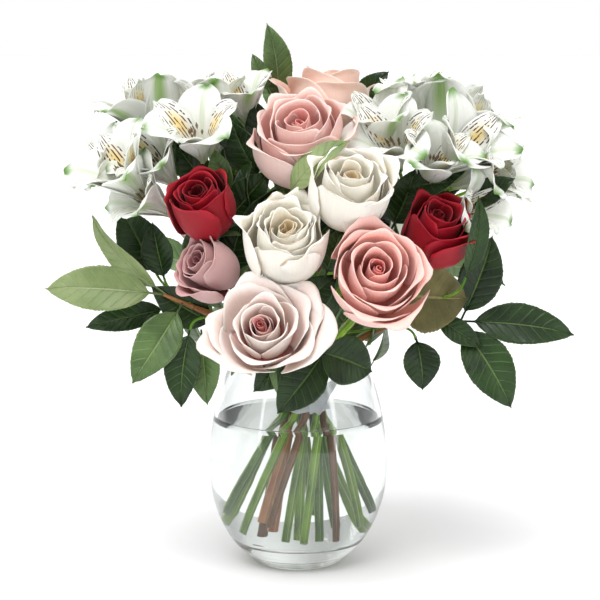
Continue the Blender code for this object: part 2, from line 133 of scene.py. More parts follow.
def measured(points, seat):
    """A flower's seat, the way it faces, its radius and its length."""
    way = unit(points.mean(0) - seat)
    up = (points - seat) @ way
    out = np.linalg.norm(points - seat - up[:, None] * way, axis=1)
    return seat, way, out.max(), up.max()


def seat_of_rose(rose, stem_top):
    points, _ = welded(rose)
    return measured(points, points[np.linalg.norm(points - stem_top, axis=1) < SEAT_REACH].mean(0))


def seat_of_lily(lily, stem_points):
    points, _ = welded(lily)
    gap = np.linalg.norm(points[:, None] - stem_points[None], axis=2).min(1)
    return measured(points, points[np.argsort(gap)[:FOOT_CORNERS]].mean(0))


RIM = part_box("vase")[1].z


def spot(mm):
    """A place given in mm, with its height counted from the vase's rim."""
    return np.array(mm) * MM + (0, 0, RIM)


nodes = sorted(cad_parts)
stems = {node: rings(node) for node in nodes if "stem" in node or "sprig" in node}
roses = {
    node: seat_of_rose(node, stems[node.replace("rose", "stem")][0][-1])
    for node in nodes
    if node.startswith("rose")
}
lily_hosts = {}
for node in nodes:
    if node.startswith("lily") and "stem" not in node:
        side = "left" if "left" in node or node == "lily_top" else "right"
        lily_hosts[node] = "lily_stem_back" if "lily_back" in node else "lily_stem_" + side
lilies = {node: seat_of_lily(node, welded(host)[0]) for node, host in lily_hosts.items()}
for node, (centres, _) in stems.items():
    print(node, "has", len(centres), "rings and ends at", np.round(centres[-1] / MM))
for node, (seat, way, radius, height) in {**roses, **lilies}.items():
    print(node, "sits at", np.round(seat / MM), "and is", round(2000 * radius), "x", round(1000 * height))

# %% [markdown]
# ## Shader arithmetic
# A finish is easier to read as a formula than as a web of nodes. `Value` wraps one socket, and
# arithmetic on it adds Math nodes. `Finish` holds one material: `node` adds any other node from its
# type, its settings and its inputs, and the few methods below it name the mixes that recur.

# %% Value and Finish
MIX_SHARE, MIX_FIRST, MIX_SECOND, MIX_COLOUR = 0, 6, 7, 2  # a Mix node's sockets for colours


class Value:
    """A number, colour or vector on its way through a material."""

    def __init__(self, finish, socket):
        self.finish, self.socket = finish, socket

    def math(self, operation, *inputs):
        return self.finish.node("ShaderNodeMath", {"operation": operation}, dict(enumerate(inputs)))

    def __add__(self, other):
        return self.math("ADD", self, other)

    def __sub__(self, other):
        return self.math("SUBTRACT", self, other)

    def __rsub__(self, other):
        return self.math("SUBTRACT", other, self)

    def __mul__(self, other):
        return self.math("MULTIPLY", self, other)

    def __abs__(self):
        return self.math("ABSOLUTE", self)

    __radd__, __rmul__ = __add__, __mul__

    def sine(self):
        return self.math("SINE", self)

    def fraction(self):
        return self.math("FRACT", self)

    def rise(self, low, high):
        """0 below low, 1 above high, and a smooth step between; it falls where low is the larger."""
        ends = {"From Min": low, "From Max": high, "Value": self}
        if low > high:
            ends = {"From Min": high, "From Max": low, "To Min": 1.0, "To Max": 0.0, "Value": self}
        return self.finish.node("ShaderNodeMapRange", {"interpolation_type": "SMOOTHSTEP"}, ends)


def tone(red, green, blue):
    """A colour given as 0 to 255 on a screen, in the linear numbers that a shader takes."""
    shares = [c / 255 for c in (red, green, blue)]
    return (*(c / 12.92 if c < 0.04 else ((c + 0.055) / 1.055) ** 2.4 for c in shares), 1)


class Finish:
    """One material: a Principled shader and the formulas that feed it."""

    def __init__(self, name, **uniform):
        self.material = bpy.data.materials.new(name)
        self.material.use_nodes = True
        self.tree = self.material.node_tree
        self.tree.nodes.clear()
        self.shader = self.tree.nodes.new("ShaderNodeBsdfPrincipled")
        output = self.tree.nodes.new("ShaderNodeOutputMaterial")
        self.tree.links.new(self.shader.outputs[0], output.inputs[0])
        for socket, value in uniform.items():
            self.shader.inputs[socket.replace("_", " ")].default_value = value

    def node(self, kind, settings=None, inputs=None, output=0):
        made = self.tree.nodes.new(kind)
        for key, value in (settings or {}).items():
            setattr(made, key, value)
        for key, value in (inputs or {}).items():
            self.feed(made.inputs[key], value)
        return Value(self, made.outputs[output])

    def feed(self, socket, value):
        if isinstance(value, Value):
            self.tree.links.new(value.socket, socket)
        else:
            socket.default_value = value

    def set(self, **formulas):
        for socket, value in formulas.items():
            self.feed(self.shader.inputs[socket.replace("_", " ")], value)
        return self.material

    def uv(self):
        """Across and along the piece's own sheet, each from 0 to 1."""
        place = self.node("ShaderNodeUVMap", {"uv_map": "UVMap"})
        split = self.node("ShaderNodeSeparateXYZ", {}, {0: place})
        return split, Value(self, split.socket.node.outputs[1])

    def object_place(self):
        return self.node("ShaderNodeTexCoord", {}, {}, "Object")

    def own(self, name):
        """A number that the mesh carries at its points."""
        return self.node("ShaderNodeAttribute", {"attribute_name": name}, {}, "Fac")

    def join(self, x, y, z=0.0):
        return self.node("ShaderNodeCombineXYZ", {}, {0: x, 1: y, 2: z})

    def noise(self, place, scale, detail=2.0, roughness=0.5):
        inputs = {"Vector": place, "Scale": scale, "Detail": detail, "Roughness": roughness}
        return self.node("ShaderNodeTexNoise", {}, inputs)

    def mix(self, share, first, second, blend="MIX"):
        settings = {"data_type": "RGBA", "blend_type": blend}
        inputs = {MIX_SHARE: share, MIX_FIRST: first, MIX_SECOND: second}
        return self.node("ShaderNodeMix", settings, inputs, MIX_COLOUR)

    def shade(self, colour, amount):
        """The colour made darker or lighter by a number near 1."""
        grey = self.node("ShaderNodeCombineColor", {}, {0: amount, 1: amount, 2: amount})
        return self.mix(1.0, colour, grey, "MULTIPLY")

    def bump(self, height, depth, strength=1.0):
        inputs = {"Height": height, "Distance": depth, "Strength": strength}
        return self.node("ShaderNodeBump", {}, inputs)


print("white is", [round(c, 3) for c in tone(255, 255, 255)])

# %% [markdown]
# ## Petal finish
# A rose petal is thin, velvety and a little see-through, so light that goes in at one place comes out at
# another: a small constant subsurface does that. Its colour is deepest in the throat and palest on the
# rolled lip, the heart of the flower is stronger than the guard petals, and fine veins fan up from the
# foot. The darker throat and heart are partly the rose's own colour and partly painted shade, where the
# cup shades itself. A petal's inner side is deeper than its outer side, so each variety has two finishes.
# Each petal carries its own layer number and a small tint of chance, so no two are alike.

# %% Petal finish
def petal_finish(name, heart, throat_and_shade, body, lip, sheen=0.2, rough=0.55, core=0.45, edge=None):
    finish = Finish(
        name,
        Subsurface_Weight=0.2,
        Subsurface_Radius=(0.004, 0.0022, 0.0016),
        Subsurface_Scale=0.6,
        Sheen_Weight=sheen,
        Sheen_Roughness=0.5,
        Specular_IOR_Level=0.25,
    )
    across, along = finish.uv()
    layer, tint = finish.own("layer"), finish.own("tint")
    veins = finish.noise(finish.join(across * 60, along * 2.0, tint * 9), 1.0, 2.0)
    mottle = finish.noise(finish.object_place(), 90.0, 3.0)
    reach = along + (mottle - 0.5) * 0.14
    # The throat colour is partly painted shade at the foot of the petal.
    colour = finish.mix((reach + layer * 0.5).rise(0.5, 0.95), throat_and_shade, body)
    colour = finish.mix(reach.rise(0.78, 0.99), colour, lip)
    # The heart colour is partly painted shade in the hollow middle of the flower.
    colour = finish.mix(layer.rise(core, 0.05), colour, heart)
    if edge:
        worn = reach.rise(0.965, 1.0) * finish.noise(finish.object_place(), 90.0).rise(0.42, 0.7)
        colour = finish.mix(worn, colour, edge)
    light = 0.98 + (veins - 0.5) * 0.1 + (tint - 0.5) * 0.1 + (mottle - 0.5) * 0.12
    return finish.set(
        Base_Color=finish.shade(colour, light),
        Roughness=rough + (mottle - 0.5) * 0.16,
        Normal=finish.bump(veins * 0.5 + mottle * 0.5, 0.0005, 0.3),
    )


# Per variety: how a petal's outer side and its inner side look at the heart, throat, body and lip. The
# deep heart and throat tones are partly painted shade.
PETAL_TONES = {
    "blush": (
        ((214, 128, 120), (230, 204, 193), (238, 227, 219), (238, 229, 222)),
        ((176, 36, 44), (212, 96, 90), (236, 212, 204), (238, 226, 219)),
    ),
    "coral": (
        ((240, 160, 152), (247, 188, 179), (249, 202, 193), (247, 206, 197)),
        ((232, 104, 98), (246, 158, 149), (251, 190, 181), (248, 203, 194)),
    ),
    "cream": (
        ((240, 230, 206), (238, 235, 214), (249, 245, 233), (251, 248, 241)),
        ((226, 202, 158), (242, 229, 197), (249, 243, 226), (251, 247, 238)),
    ),
    "red": (
        ((112, 6, 18), (122, 7, 22), (146, 11, 30), (166, 19, 41)),
        ((62, 3, 10), (86, 4, 14), (130, 8, 23), (162, 15, 36)),
    ),
    "mauve": (
        ((170, 112, 118), (182, 134, 136), (202, 160, 159), (208, 172, 169)),
        ((132, 72, 80), (144, 80, 88), (180, 124, 126), (202, 160, 158)),
    ),
    "pink": (
        ((242, 184, 177), (247, 204, 195), (250, 215, 207), (248, 218, 210)),
        ((228, 128, 124), (243, 160, 154), (249, 197, 189), (248, 213, 205)),
    ),
    "peach": (
        ((240, 182, 164), (244, 198, 180), (247, 208, 192), (249, 220, 207)),
        ((234, 148, 130), (240, 164, 146), (246, 194, 176), (249, 212, 197)),
    ),
}
PETAL_FINISHES = {}
for variety, sides in PETAL_TONES.items():
    velvet = dict(sheen=0.06, rough=0.48) if variety == "red" else {}
    velvet["edge"] = tone(205, 178, 150) if variety == "cream" else None
    PETAL_FINISHES[variety] = [
        petal_finish(f"{variety} petal {side}", *(tone(*c) for c in tones), **velvet)
        for side, tones in zip(("outside", "inside"), sides)
    ]
print(2 * len(PETAL_FINISHES), "petal finishes")

# %% [markdown]
# ## Lily finish
# A lily's tepals are white with a green tip and a green line on the back. Its two upper inner tepals are
# yellow in the middle and flecked with dark dashes that run along them.

# %% Lily finish
def lily_finish(name, back):
    finish = Finish(
        name,
        Subsurface_Weight=0.15,
        Subsurface_Radius=(0.003, 0.003, 0.0024),
        Subsurface_Scale=0.5,
        Sheen_Weight=0.1,
        Specular_IOR_Level=0.3,
    )
    across, along = finish.uv()
    inner, streaked, tint = finish.own("inner"), finish.own("streaked"), finish.own("tint")
    side = abs(across - 0.5) * 2
    place = finish.object_place()
    grain = finish.noise(finish.join(across * 26, along * 1.6, tint * 7), 1.0)
    colour = finish.mix(along.rise(0.0, 0.42), tone(190, 204, 152), tone(238, 240, 233))
    wide, depth = (0.5, 0.9) if back else (0.2, 0.35)
    rib = (side + (grain - 0.5) * 0.2).rise(wide, 0.04) * (1 - inner * 0.8) * along.rise(0.15, 0.75)
    colour = finish.mix(rib * depth, colour, tone(138, 174, 92))
    tip = along.rise(0.86, 1.0) * side.rise(0.8, 0.3) * (1 - inner * 0.8)
    colour = finish.mix(tip, colour, tone(96, 144, 58))
    gold = streaked * side.rise(0.75, 0.1) * along.rise(0.34, 0.55) * along.rise(0.86, 0.6)
    colour = finish.mix(gold * 0.8, colour, tone(246, 212, 120))
    fan = (across - 0.5) * (6.5 + 3.0 * along) + tint * 3
    dash = finish.noise(finish.join(fan, along * 15, tint * 5), 1.0, 1.0)
    line = abs(fan.fraction() - 0.5).rise(0.25, 0.12) * dash.rise(0.44, 0.5)
    marks = line * side.rise(0.98, 0.86) * along.rise(0.36, 0.42) * along.rise(0.98, 0.92)
    colour = finish.mix(marks * streaked * (0.35 if back else 1.0), colour, tone(74, 26, 34))
    return finish.set(
        Base_Color=finish.shade(colour, 0.9 + grain * 0.16 + (tint - 0.5) * 0.1),
        Roughness=0.42 + finish.noise(place, 120.0) * 0.16,
        Normal=finish.bump(grain, 0.0008, 0.6),
    )


LILY_FINISHES = [lily_finish("lily tepal inside", False), lily_finish("lily tepal outside", True)]
print(len(LILY_FINISHES), "lily finishes")

# %% [markdown]
# ## Leaf finish
# A leaf is darker and glossier above than below, with a pale midrib and side veins that curve to the
# tip, so its shell carries two finishes.

# %% Leaf finish
SIDE_VEINS = 9.5  # along a whole blade; the blade's own puffs follow them


def leaf_finish(name, deep, bright, vein, rough=0.34, veins=1.0, gloss=0.4):
    finish = Finish(
        name,
        Specular_IOR_Level=gloss,
        Subsurface_Weight=0.04,
        Subsurface_Radius=(0.0012, 0.002, 0.0006),
        Subsurface_Scale=0.4,
    )
    across, along = finish.uv()
    tint = finish.own("tint")
    side = abs(across - 0.5) * 2
    place = finish.object_place()
    patch = finish.noise(place, 48.0, 3.0)
    cells = finish.noise(place, 620.0, 2.0)
    ribs = abs((along * SIDE_VEINS - side * (1.7 - along * 0.5) + (patch - 0.5) * 0.5).fraction() - 0.5)
    side_vein = ribs.rise(0.10, 0.0) * side.rise(1.0, 0.8)
    midrib = side.rise(0.07, 0.02)
    colour = finish.mix(patch.rise(0.25, 0.75), deep, bright)
    colour = finish.mix(side_vein * (0.17 * veins), colour, vein)
    colour = finish.mix(midrib * 0.6, colour, vein)
    colour = finish.mix(side.rise(0.93, 1.0) * 0.25, colour, vein)
    light = 0.8 + tint * 0.4 + (cells - 0.5) * 0.2
    height = cells * 0.12 - side_vein * 0.5 - midrib + ribs * 0.9
    return finish.set(
        Base_Color=finish.shade(colour, light),
        Roughness=rough + (cells - 0.5) * 0.14 + side_vein * 0.1,
        Normal=finish.bump(height, 0.0007, 0.8),
    )


UNDERSIDE = leaf_finish(
    "leaf underside", tone(96, 122, 78), tone(122, 146, 100), tone(166, 182, 136), 0.6, 0.8, 0.2
)
LEAF_FINISHES = {
    "dark": leaf_finish("dark leaf", tone(16, 36, 12), tone(40, 66, 25), tone(106, 132, 76), 0.3, 1.0, 0.3),
    "green": leaf_finish("green leaf", tone(58, 82, 40), tone(86, 112, 60), tone(140, 160, 104)),
    "fresh": leaf_finish("fresh leaf", tone(108, 128, 74), tone(140, 156, 104), tone(180, 192, 146), 0.42),
    "olive": leaf_finish(
        "olive leaf", tone(74, 72, 36), tone(116, 108, 60), tone(150, 146, 92), 0.45, 0.9, 0.3
    ),
}
print(len(LEAF_FINISHES) + 1, "leaf finishes")

# %% [markdown]
# ## Stem finish
# Stems are green or brown with fine lengthwise streaks. One side is painted lighter, as if lit, and one
# narrow painted highlight runs along them. Woody twigs are brown and duller.

# %% Stem finish
# The palest colour serves the stem's own fine streaks and specks, and also its painted highlight.
def stem_finish(name, shaded, bright, streak_and_highlight, rough=0.4):
    finish = Finish(name, Specular_IOR_Level=0.12)
    across, along = finish.uv()
    place = finish.object_place()
    lines = finish.noise(finish.join(across * 22, along * 3.0), 1.0, 2.0)
    patch = finish.noise(place, 42.0, 2.0)
    specks = finish.noise(place, 700.0, 1.0).rise(0.66, 0.74)
    colour = finish.mix(patch.rise(0.3, 0.7), shaded, bright)
    # Painted light: one side of each stem is mixed towards the bright colour, as if lit from there.
    painted_lit_side = (across * math.tau + patch * 2.0).sine() * 0.5 + 0.5
    colour = finish.mix(painted_lit_side * 0.6, colour, bright)
    # Painted highlight: a narrow band along one side of the stem, in the palest colour.
    painted_highlight = abs((across + patch * 0.12).fraction() - 0.62).rise(0.09, 0.01)
    colour = finish.mix(lines.rise(0.5, 0.72) * 0.5, colour, streak_and_highlight)
    colour = finish.mix(painted_highlight * 0.95, colour, streak_and_highlight)
    colour = finish.mix(specks * 0.25, colour, streak_and_highlight)
    return finish.set(
        Base_Color=finish.shade(colour, 0.88 + lines * 0.24),
        Roughness=rough + patch * 0.12,
        Normal=finish.bump(lines + specks * 0.3, 0.0004, 0.7),
    )


STEM_FINISHES = {
    "green": stem_finish("green stem", tone(74, 122, 22), tone(146, 196, 48), tone(242, 248, 190), 0.25),
    "deep": stem_finish("deep green stem", tone(44, 88, 18), tone(92, 144, 36), tone(198, 224, 128), 0.25),
    "brown": stem_finish("brown stem", tone(186, 104, 50), tone(220, 150, 98), tone(250, 222, 186), 0.35),
    "twig": stem_finish("woody twig", tone(104, 66, 38), tone(148, 104, 66), tone(186, 150, 108), 0.5),
}
print(len(STEM_FINISHES), "stem finishes")

# %% [markdown]
# ## Sheets and tubes
# Petals, tepals, leaves and stems all start as a flat grid. An array repeats the grid once per petal,
# and a formula then lays each point in place, which gives smooth thin shapes that extruding by hand
# can't. A sheet gets its thickness from Solidify, and carries numbers that its finish reads.

# %% Sheets
def sheets(name, count, across, along, lay):
    """count grids laid out by lay(u, v, number), with u from -1 to 1 across and v from 0 to 1 along."""
    bpy.ops.object.select_all(action="DESELECT")
    bpy.ops.mesh.primitive_grid_add(x_subdivisions=across, y_subdivisions=along, size=2)
    piece = bpy.context.object
    piece.name = piece.data.name = name
    each = len(piece.data.vertices)
    if count > 1:
        copies = piece.modifiers.new("copies", "ARRAY")
        copies.count, copies.use_relative_offset = count, False
        bpy.ops.object.modifier_apply(modifier=copies.name)
    flat = np.empty(len(piece.data.vertices) * 3)
    piece.data.vertices.foreach_get("co", flat)
    flat = flat.reshape(-1, 3)
    number = np.arange(len(flat)) // each
    placed = lay(flat[:, 0], (flat[:, 1] + 1) / 2, number)
    piece.data.vertices.foreach_set("co", placed.ravel())
    piece.data.update()
    return piece, number


def carry(piece, **numbers):
    """Stores a number at every point of the mesh, for its finish to read."""
    for name, values in numbers.items():
        layer = piece.data.attributes.new(name, "FLOAT", "POINT")
        layer.data.foreach_set("value", np.broadcast_to(values, len(piece.data.vertices)).astype(np.float32))


def thicken(piece, thickness, second_side=False):
    shell = piece.modifiers.new("thickness", "SOLIDIFY")
    shell.thickness, shell.offset = thickness, 0
    if second_side:
        shell.material_offset = 1
    bpy.context.view_layer.objects.active = piece
    bpy.ops.object.modifier_apply(modifier=shell.name)

# %% [markdown]
# ## Steps on a mesh
# Many of Blender's tools work on whatever is selected, so these helpers first select their piece alone.
# A tube is a grid rolled up: its seam is merged, its ends are filled and its faces turned outwards.

# %% Steps on a mesh
def only(piece):
    """Makes the piece the one that is selected and active."""
    bpy.ops.object.select_all(action="DESELECT")
    piece.select_set(True)
    bpy.context.view_layer.objects.active = piece


def smooth(piece):
    only(piece)
    bpy.ops.object.shade_smooth()


def join(name, pieces):
    only(pieces[0])
    for piece in pieces:
        piece.select_set(True)
    if len(pieces) > 1:
        bpy.ops.object.join()
    pieces[0].name = pieces[0].data.name = name
    return pieces[0]


def edit(piece, *steps):
    """Runs each mesh step, given with its settings, on the whole piece."""
    only(piece)
    bpy.ops.object.mode_set(mode="EDIT")
    for step, settings in steps:
        bpy.ops.mesh.select_all(action="SELECT")
        step(**settings)
    bpy.ops.object.mode_set(mode="OBJECT")


MERGE = bpy.ops.mesh.remove_doubles, {"threshold": TINY}
FACE_OUT = bpy.ops.mesh.normals_make_consistent, {"inside": False}


def close(piece):
    """Merges the seam of a rolled grid, fills its ends and turns its faces outwards."""
    smooth(piece)
    edit(piece, MERGE, (bpy.ops.mesh.fill_holes, {"sides": 0}), FACE_OUT)

# %% [markdown]
# ## Curves and tubes
# Stems, stalks and threads follow smooth curves. A tube turns as little as it can along its curve, so
# that its streaks don't wind round it.

# %% Curves and tubes
def eased(share):
    share = np.clip(share, 0, 1)
    return share * share * (3 - 2 * share)


def hermite(start, start_way, end, end_way, count=12):
    """Points on a smooth curve that leaves start and reaches end in the given directions."""
    t = np.linspace(0, 1, count)[:, None]
    reach = np.linalg.norm(end - start)
    ease = 3 * t**2 - 2 * t**3
    bends = (t**3 - 2 * t**2 + t) * start_way + (t**3 - t**2) * end_way
    return (1 - ease) * start + ease * end + reach * bends


def curve_through(points, count):
    """A smooth curve through the points, as count points (Catmull-Rom)."""
    points = np.asarray(points, float)
    padded = np.vstack([2 * points[0] - points[1], points, 2 * points[-1] - points[-2]])
    place = np.linspace(0, len(points) - 1 - 1e-9, count)
    i, t = place.astype(int), (place % 1)[:, None]
    a, b, c, d = (padded[i + k] for k in range(4))
    return b + 0.5 * t * (c - a + t * (2 * a - 5 * b + 4 * c - d + t * (3 * (b - c) + d - a)))


def tubes(name, paths, around=12):
    """One piece of round tubes. Each path is (points, radii), with equally many points in each."""
    spines, sizes, firsts, seconds = [], [], [], []
    for points, radii in paths:
        ways = np.gradient(points, axis=0)
        ways /= np.linalg.norm(ways, axis=1)[:, None]
        first = unit(np.cross(ways[0], (0.31, 0.95, 0.05)))
        turned = []
        for way in ways:
            first = unit(first - (first @ way) * way)
            turned.append(first)
        turned = np.array(turned)
        spines.append(points)
        sizes.append(radii)
        firsts.append(turned)
        seconds.append(np.cross(ways, turned))
    spines, sizes, firsts, seconds = (np.array(a) for a in (spines, sizes, firsts, seconds))

    def lay(u, v, number):
        row = np.round(v * (spines.shape[1] - 1)).astype(int)
        angle = u * math.pi
        spot = (number, row)
        round_it = np.cos(angle)[:, None] * firsts[spot] + np.sin(angle)[:, None] * seconds[spot]
        return spines[spot] + sizes[spot][:, None] * round_it

    return sheets(name, len(paths), around, spines.shape[1] - 1, lay)[0]


print("a quarter of the way is eased to", eased(0.25))

# %% [markdown]
# ## Attaching a piece
# Every finished piece is hung under the model's root, and the CAD nodes that it stands for are hidden.

# %% Attaching a piece
def finish_with(piece, *materials):
    for material in materials:
        piece.data.materials.append(material)


def hand_in(piece, slot, *replaced):
    """The piece rides on the model and stands for its CAD nodes, which it hides; slot is not used."""
    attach(piece, "root")
    if replaced:
        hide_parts(*replaced)
    print(piece.name, "has", len(piece.data.polygons), "faces")

# %% [markdown]
# ## Rose petals
# A rose is a spiral of overlapping petals round a tight heart. Each petal rises from the seat along a
# curve, bellies out, leans in or out at its rim, and rolls its lip back; the older and more outward the
# petal, the wider it opens and the more it rolls. Successive petals stand a golden angle apart, as
# they grow. Turning a profile would give smooth bowls, so every petal also gets its own tuck (one side
# lies over its neighbour), waves along its rim and small chance differences. The petals come in three
# rings, heart, cup and skirt, and a guard is one more petal outside them, placed as given.

# %% Rose builder
GOLDEN_ANGLE = math.radians(137.5)
LIP_START = 0.76  # share of a petal's length where its lip begins
HEART, CUP, SKIRT = (0.0, 0.4), (0.5, 0.68), (0.84, 1.0)  # shares of the way out, per ring of petals
GUARD = 1.03
PETAL_THICKNESS, SEPAL_THICKNESS = 0.35 * MM, 0.5 * MM


def bezier(t, a, b, c, d):
    s = 1 - t
    return s**3 * a + 3 * s * s * t * b + 3 * s * t * t * c + t**3 * d


def facing_axes(way):
    """Right, up and out, for a flower that faces way."""
    up = np.array((0, 0, 1.0))
    if abs(way @ up) > 0.98:
        up = np.array((0, 1.0, 0))
    right = unit(np.cross(up, way))
    return right, np.cross(way, right), way


def spokes(turn, right, up):
    """For each angle, the way out from a flower's axis and the way round it."""
    radial = np.cos(turn)[:, None] * right + np.sin(turn)[:, None] * up
    return radial, -np.sin(turn)[:, None] * right + np.cos(turn)[:, None] * up


def build_rose(name, seat, way, radius, height, finish, petals, opening, tight, ruffle, seed, guards):
    """One rose. petals counts its heart, cup and skirt, and a guard is its clock angle, reach and droop."""
    chance = np.random.default_rng(seed)
    heart, cup, skirt = petals
    shares = [np.linspace(*HEART, heart), np.linspace(*CUP, cup), np.linspace(*SKIRT, skirt)]
    share = np.concatenate([*shares, np.full(len(guards), GUARD)])
    total, count = len(share), len(share) - len(guards)
    turn = GOLDEN_ANGLE * np.arange(total) + chance.normal(0, 0.2, total)
    reach, fall = 1 + chance.normal(0, 0.04, total), chance.normal(0, 0.03, total)
    for i, (clock, longer, droop) in enumerate(guards):
        turn[count + i], reach[count + i], fall[count + i] = math.radians(90 - clock), longer, droop
    wave, tint = chance.uniform(0, math.tau, (3, total)), chance.uniform(0, 1, total)
    slant, wander = chance.normal(0, 0.06, total), chance.uniform(0, math.tau, 2)
    right, up, out = facing_axes(way)

    def lay(u, v, k):
        f = share[k]
        rim = radius * (0.03 + 0.79 * f**tight) * reach[k]
        belly = rim * (1.2 - 0.45 * opening * f)
        drop = (0.14 + 0.62 * opening) * np.clip(f - 0.45, 0, 1) ** 1.25
        top = height * (0.86 + 0.14 * eased(f / 0.5) - drop - fall[k])
        point = (0.02 + 0.09 * f) * np.exp(-((u / 0.2) ** 2))
        end = 0.95 - (0.08 + 0.24 * eased(f / 0.4)) * np.abs(u) ** 2.2 + point
        s = v * end
        t = np.clip(s / LIP_START, 0, 1)
        rho = bezier(t, 0.1 * belly, 0.98 * belly, belly * 1.03, rim)
        z = bezier(t, 0.02 * height, 0.06 * height, 0.6 * top, top)
        lean = np.array((rim - belly * 1.03, 0.4 * top))
        lean = lean / np.linalg.norm(lean, axis=0)
        curl = np.radians((-25 + 150 * np.clip(f, 0, 1.1) ** 0.55) * (0.8 + 0.2 * opening))
        curl = curl * (0.65 + 0.75 * np.abs(u) ** 1.5)
        curl = np.where(np.abs(curl) < 0.02, 0.02, curl)
        lip = radius * (0.05 + 0.19 * f) * reach[k] ** 2
        angle = np.abs(curl) * np.clip((s - LIP_START) / (1 - LIP_START), 0, 1.2)
        bend = lip / np.abs(curl)
        rho = rho + bend * (np.sin(angle) * lean[0] + np.sign(curl) * (1 - np.cos(angle)) * lean[1])
        z = z + bend * (np.sin(angle) * lean[1] - np.sign(curl) * (1 - np.cos(angle)) * lean[0])
        loose = eased((s - 0.4) / 0.6) * (0.15 + 0.85 * f) * ruffle * radius
        ripple = np.sin(4.1 * u + wave[0][k]) + 0.5 * ruffle * np.sin(9.5 * u + wave[2][k]) * s**3
        rho = rho * (1 + 0.12 * u * (1 - 0.5 * f)) + 0.05 * loose * ripple
        z = z + 0.06 * loose * np.sin(4.2 * u + wave[1][k]) + 0.03 * loose * ripple
        z = z + height * s * u * (0.06 * (1 - f) + slant[k])
        half = np.radians(140 - 82 * np.clip(f, 0, 1) ** 0.8) * (0.42 + 0.58 * eased(s / 0.55))
        theta = turn[k] + u * half
        off = 0.05 * radius * np.clip(1 - f, 0, 1) * s
        x = rho * np.cos(theta) + off * np.sin(7 * f + wander[0])
        y = rho * np.sin(theta) + off * np.cos(6 * f + wander[1])
        return seat + x[:, None] * right + y[:, None] * up + z[:, None] * out

    piece, k = sheets(name + "_petals", total, 20, 18, lay)
    carry(piece, layer=share[k], tint=tint[k])
    finish_with(piece, *PETAL_FINISHES[finish])
    thicken(piece, PETAL_THICKNESS, second_side=True)
    smooth(piece)
    return piece

# %% [markdown]
# ## Sepals
# Under the petals five narrow green sepals spread from the seat like a star, and droop by different
# amounts. They are one array of small sheets.

# %% Sepals
def build_sepals(name, seat, way, radius, seed):
    """Five green sepals that spread under the petals and turn down at their tips."""
    chance = np.random.default_rng(seed)
    right, up, out = facing_axes(way)
    turn = math.tau / 5 * np.arange(5) + chance.normal(0, 0.12, 5)
    fall = chance.uniform(0.2, 1, 5)

    def lay(u, v, k):
        long = 0.75 * radius
        rho = bezier(v, 2.5 * MM, 0.4 * long, 0.8 * long, long * (1 - 0.2 * fall[k]))
        z = bezier(v, -0.5 * MM, -1 * MM, 0.04 * long - 2 * MM, -0.5 * long * fall[k])
        half = 3.4 * MM * (1 - v) ** 0.8 * (0.7 + 0.9 * v) + 0.25 * MM
        z = z - (u * u) * 1.1 * MM * (1 - v)
        radial, across = spokes(turn[k], right, up)
        return seat + rho[:, None] * radial + (u * half)[:, None] * across + z[:, None] * out

    piece, _ = sheets(name + "_sepals", 5, 6, 14, lay)
    carry(piece, tint=0.5)
    finish_with(piece, LEAF_FINISHES["green"])
    thicken(piece, SEPAL_THICKNESS)
    smooth(piece)
    return piece

# %% [markdown]
# ## The twelve roses
# The first table gives each rose's finish, its petals in heart, cup and skirt, how far it is open, how
# tight its heart is, its ruffle and its guard petals. The second says how much larger than its solid a
# rose is drawn, and how far it sits to the right and up of it, in mm.

# %% Roses
BLUSH_GUARDS = ((98, 1.16, -0.02), (45, 1.06, 0.0), (250, 1.02, -0.02))
CORAL_GUARDS = ((165, 1.26, 0.1), (200, 1.15, 0.05), (352, 1.08, -0.01), (100, 1.06, 0.02))
ROSE_LOOKS = {
    "rose_blush_front": ("blush", (9, 5, 8), 0.85, 1.35, 1.0, BLUSH_GUARDS),
    "rose_coral_right": ("coral", (7, 4, 6), 0.42, 1.15, 0.7, CORAL_GUARDS),
    "rose_cream_centre": ("cream", (8, 6, 6), 0.32, 1.0, 1.7, ()),
    "rose_red_left": ("red", (8, 5, 5), 0.15, 1.0, 0.8, ()),
    "rose_red_right": ("red", (7, 5, 5), 0.3, 1.05, 1.0, ((150, 1.15, 0.1),)),
    "rose_mauve_left": ("mauve", (6, 5, 5), 0.3, 1.0, 1.0, ((190, 1.15, 0.1),)),
    "rose_pink_back": ("pink", (8, 5, 6), 0.4, 1.1, 0.8, ()),
    "rose_cream_back": ("cream", (8, 5, 6), 0.3, 1.1, 0.9, ()),
    "rose_red_back": ("red", (8, 5, 5), 0.2, 1.0, 0.8, ()),
    "rose_pink_upper": ("pink", (6, 4, 6), 0.3, 1.05, 0.9, ((225, 1.14, 0.05), (110, 1.12, 0.05))),
    "rose_cream_upper": ("cream", (8, 5, 6), 0.32, 1.1, 1.1, ((75, 1.1, 0.02),)),
    "rose_peach_top": ("peach", (6, 5, 6), 0.6, 1.1, 0.9, ((90, 1.2, 0.0),)),
}
ROSE_FITS = {
    "rose_blush_front": (0.84, -1, 0),
    "rose_coral_right": (0.94, -4, 3),
    "rose_cream_centre": (1.1, 3, -12),
    "rose_cream_upper": (1.03, -6, -5),
    "rose_mauve_left": (0.96, 10, 5),
    "rose_red_left": (0.97, 5, -6),
    "rose_red_right": (0.98, -6, -5),
    "rose_pink_upper": (1.02, 5, 0),
    "rose_peach_top": (1.08, 3, -3),
}
for seed, (node, look) in enumerate(ROSE_LOOKS.items()):
    seat, way, radius, height = roses[node]
    size, right, up = ROSE_FITS.get(node, (1, 0, 0))
    seat = seat + np.array((right, 0, up)) * MM
    rose = build_rose(node, seat, way, radius * size, height * size, *look[:5], seed, look[5])
    hand_in(rose, look[0] + "_petal", node)
    hand_in(build_sepals(node, seat, way, radius, seed), "stem")

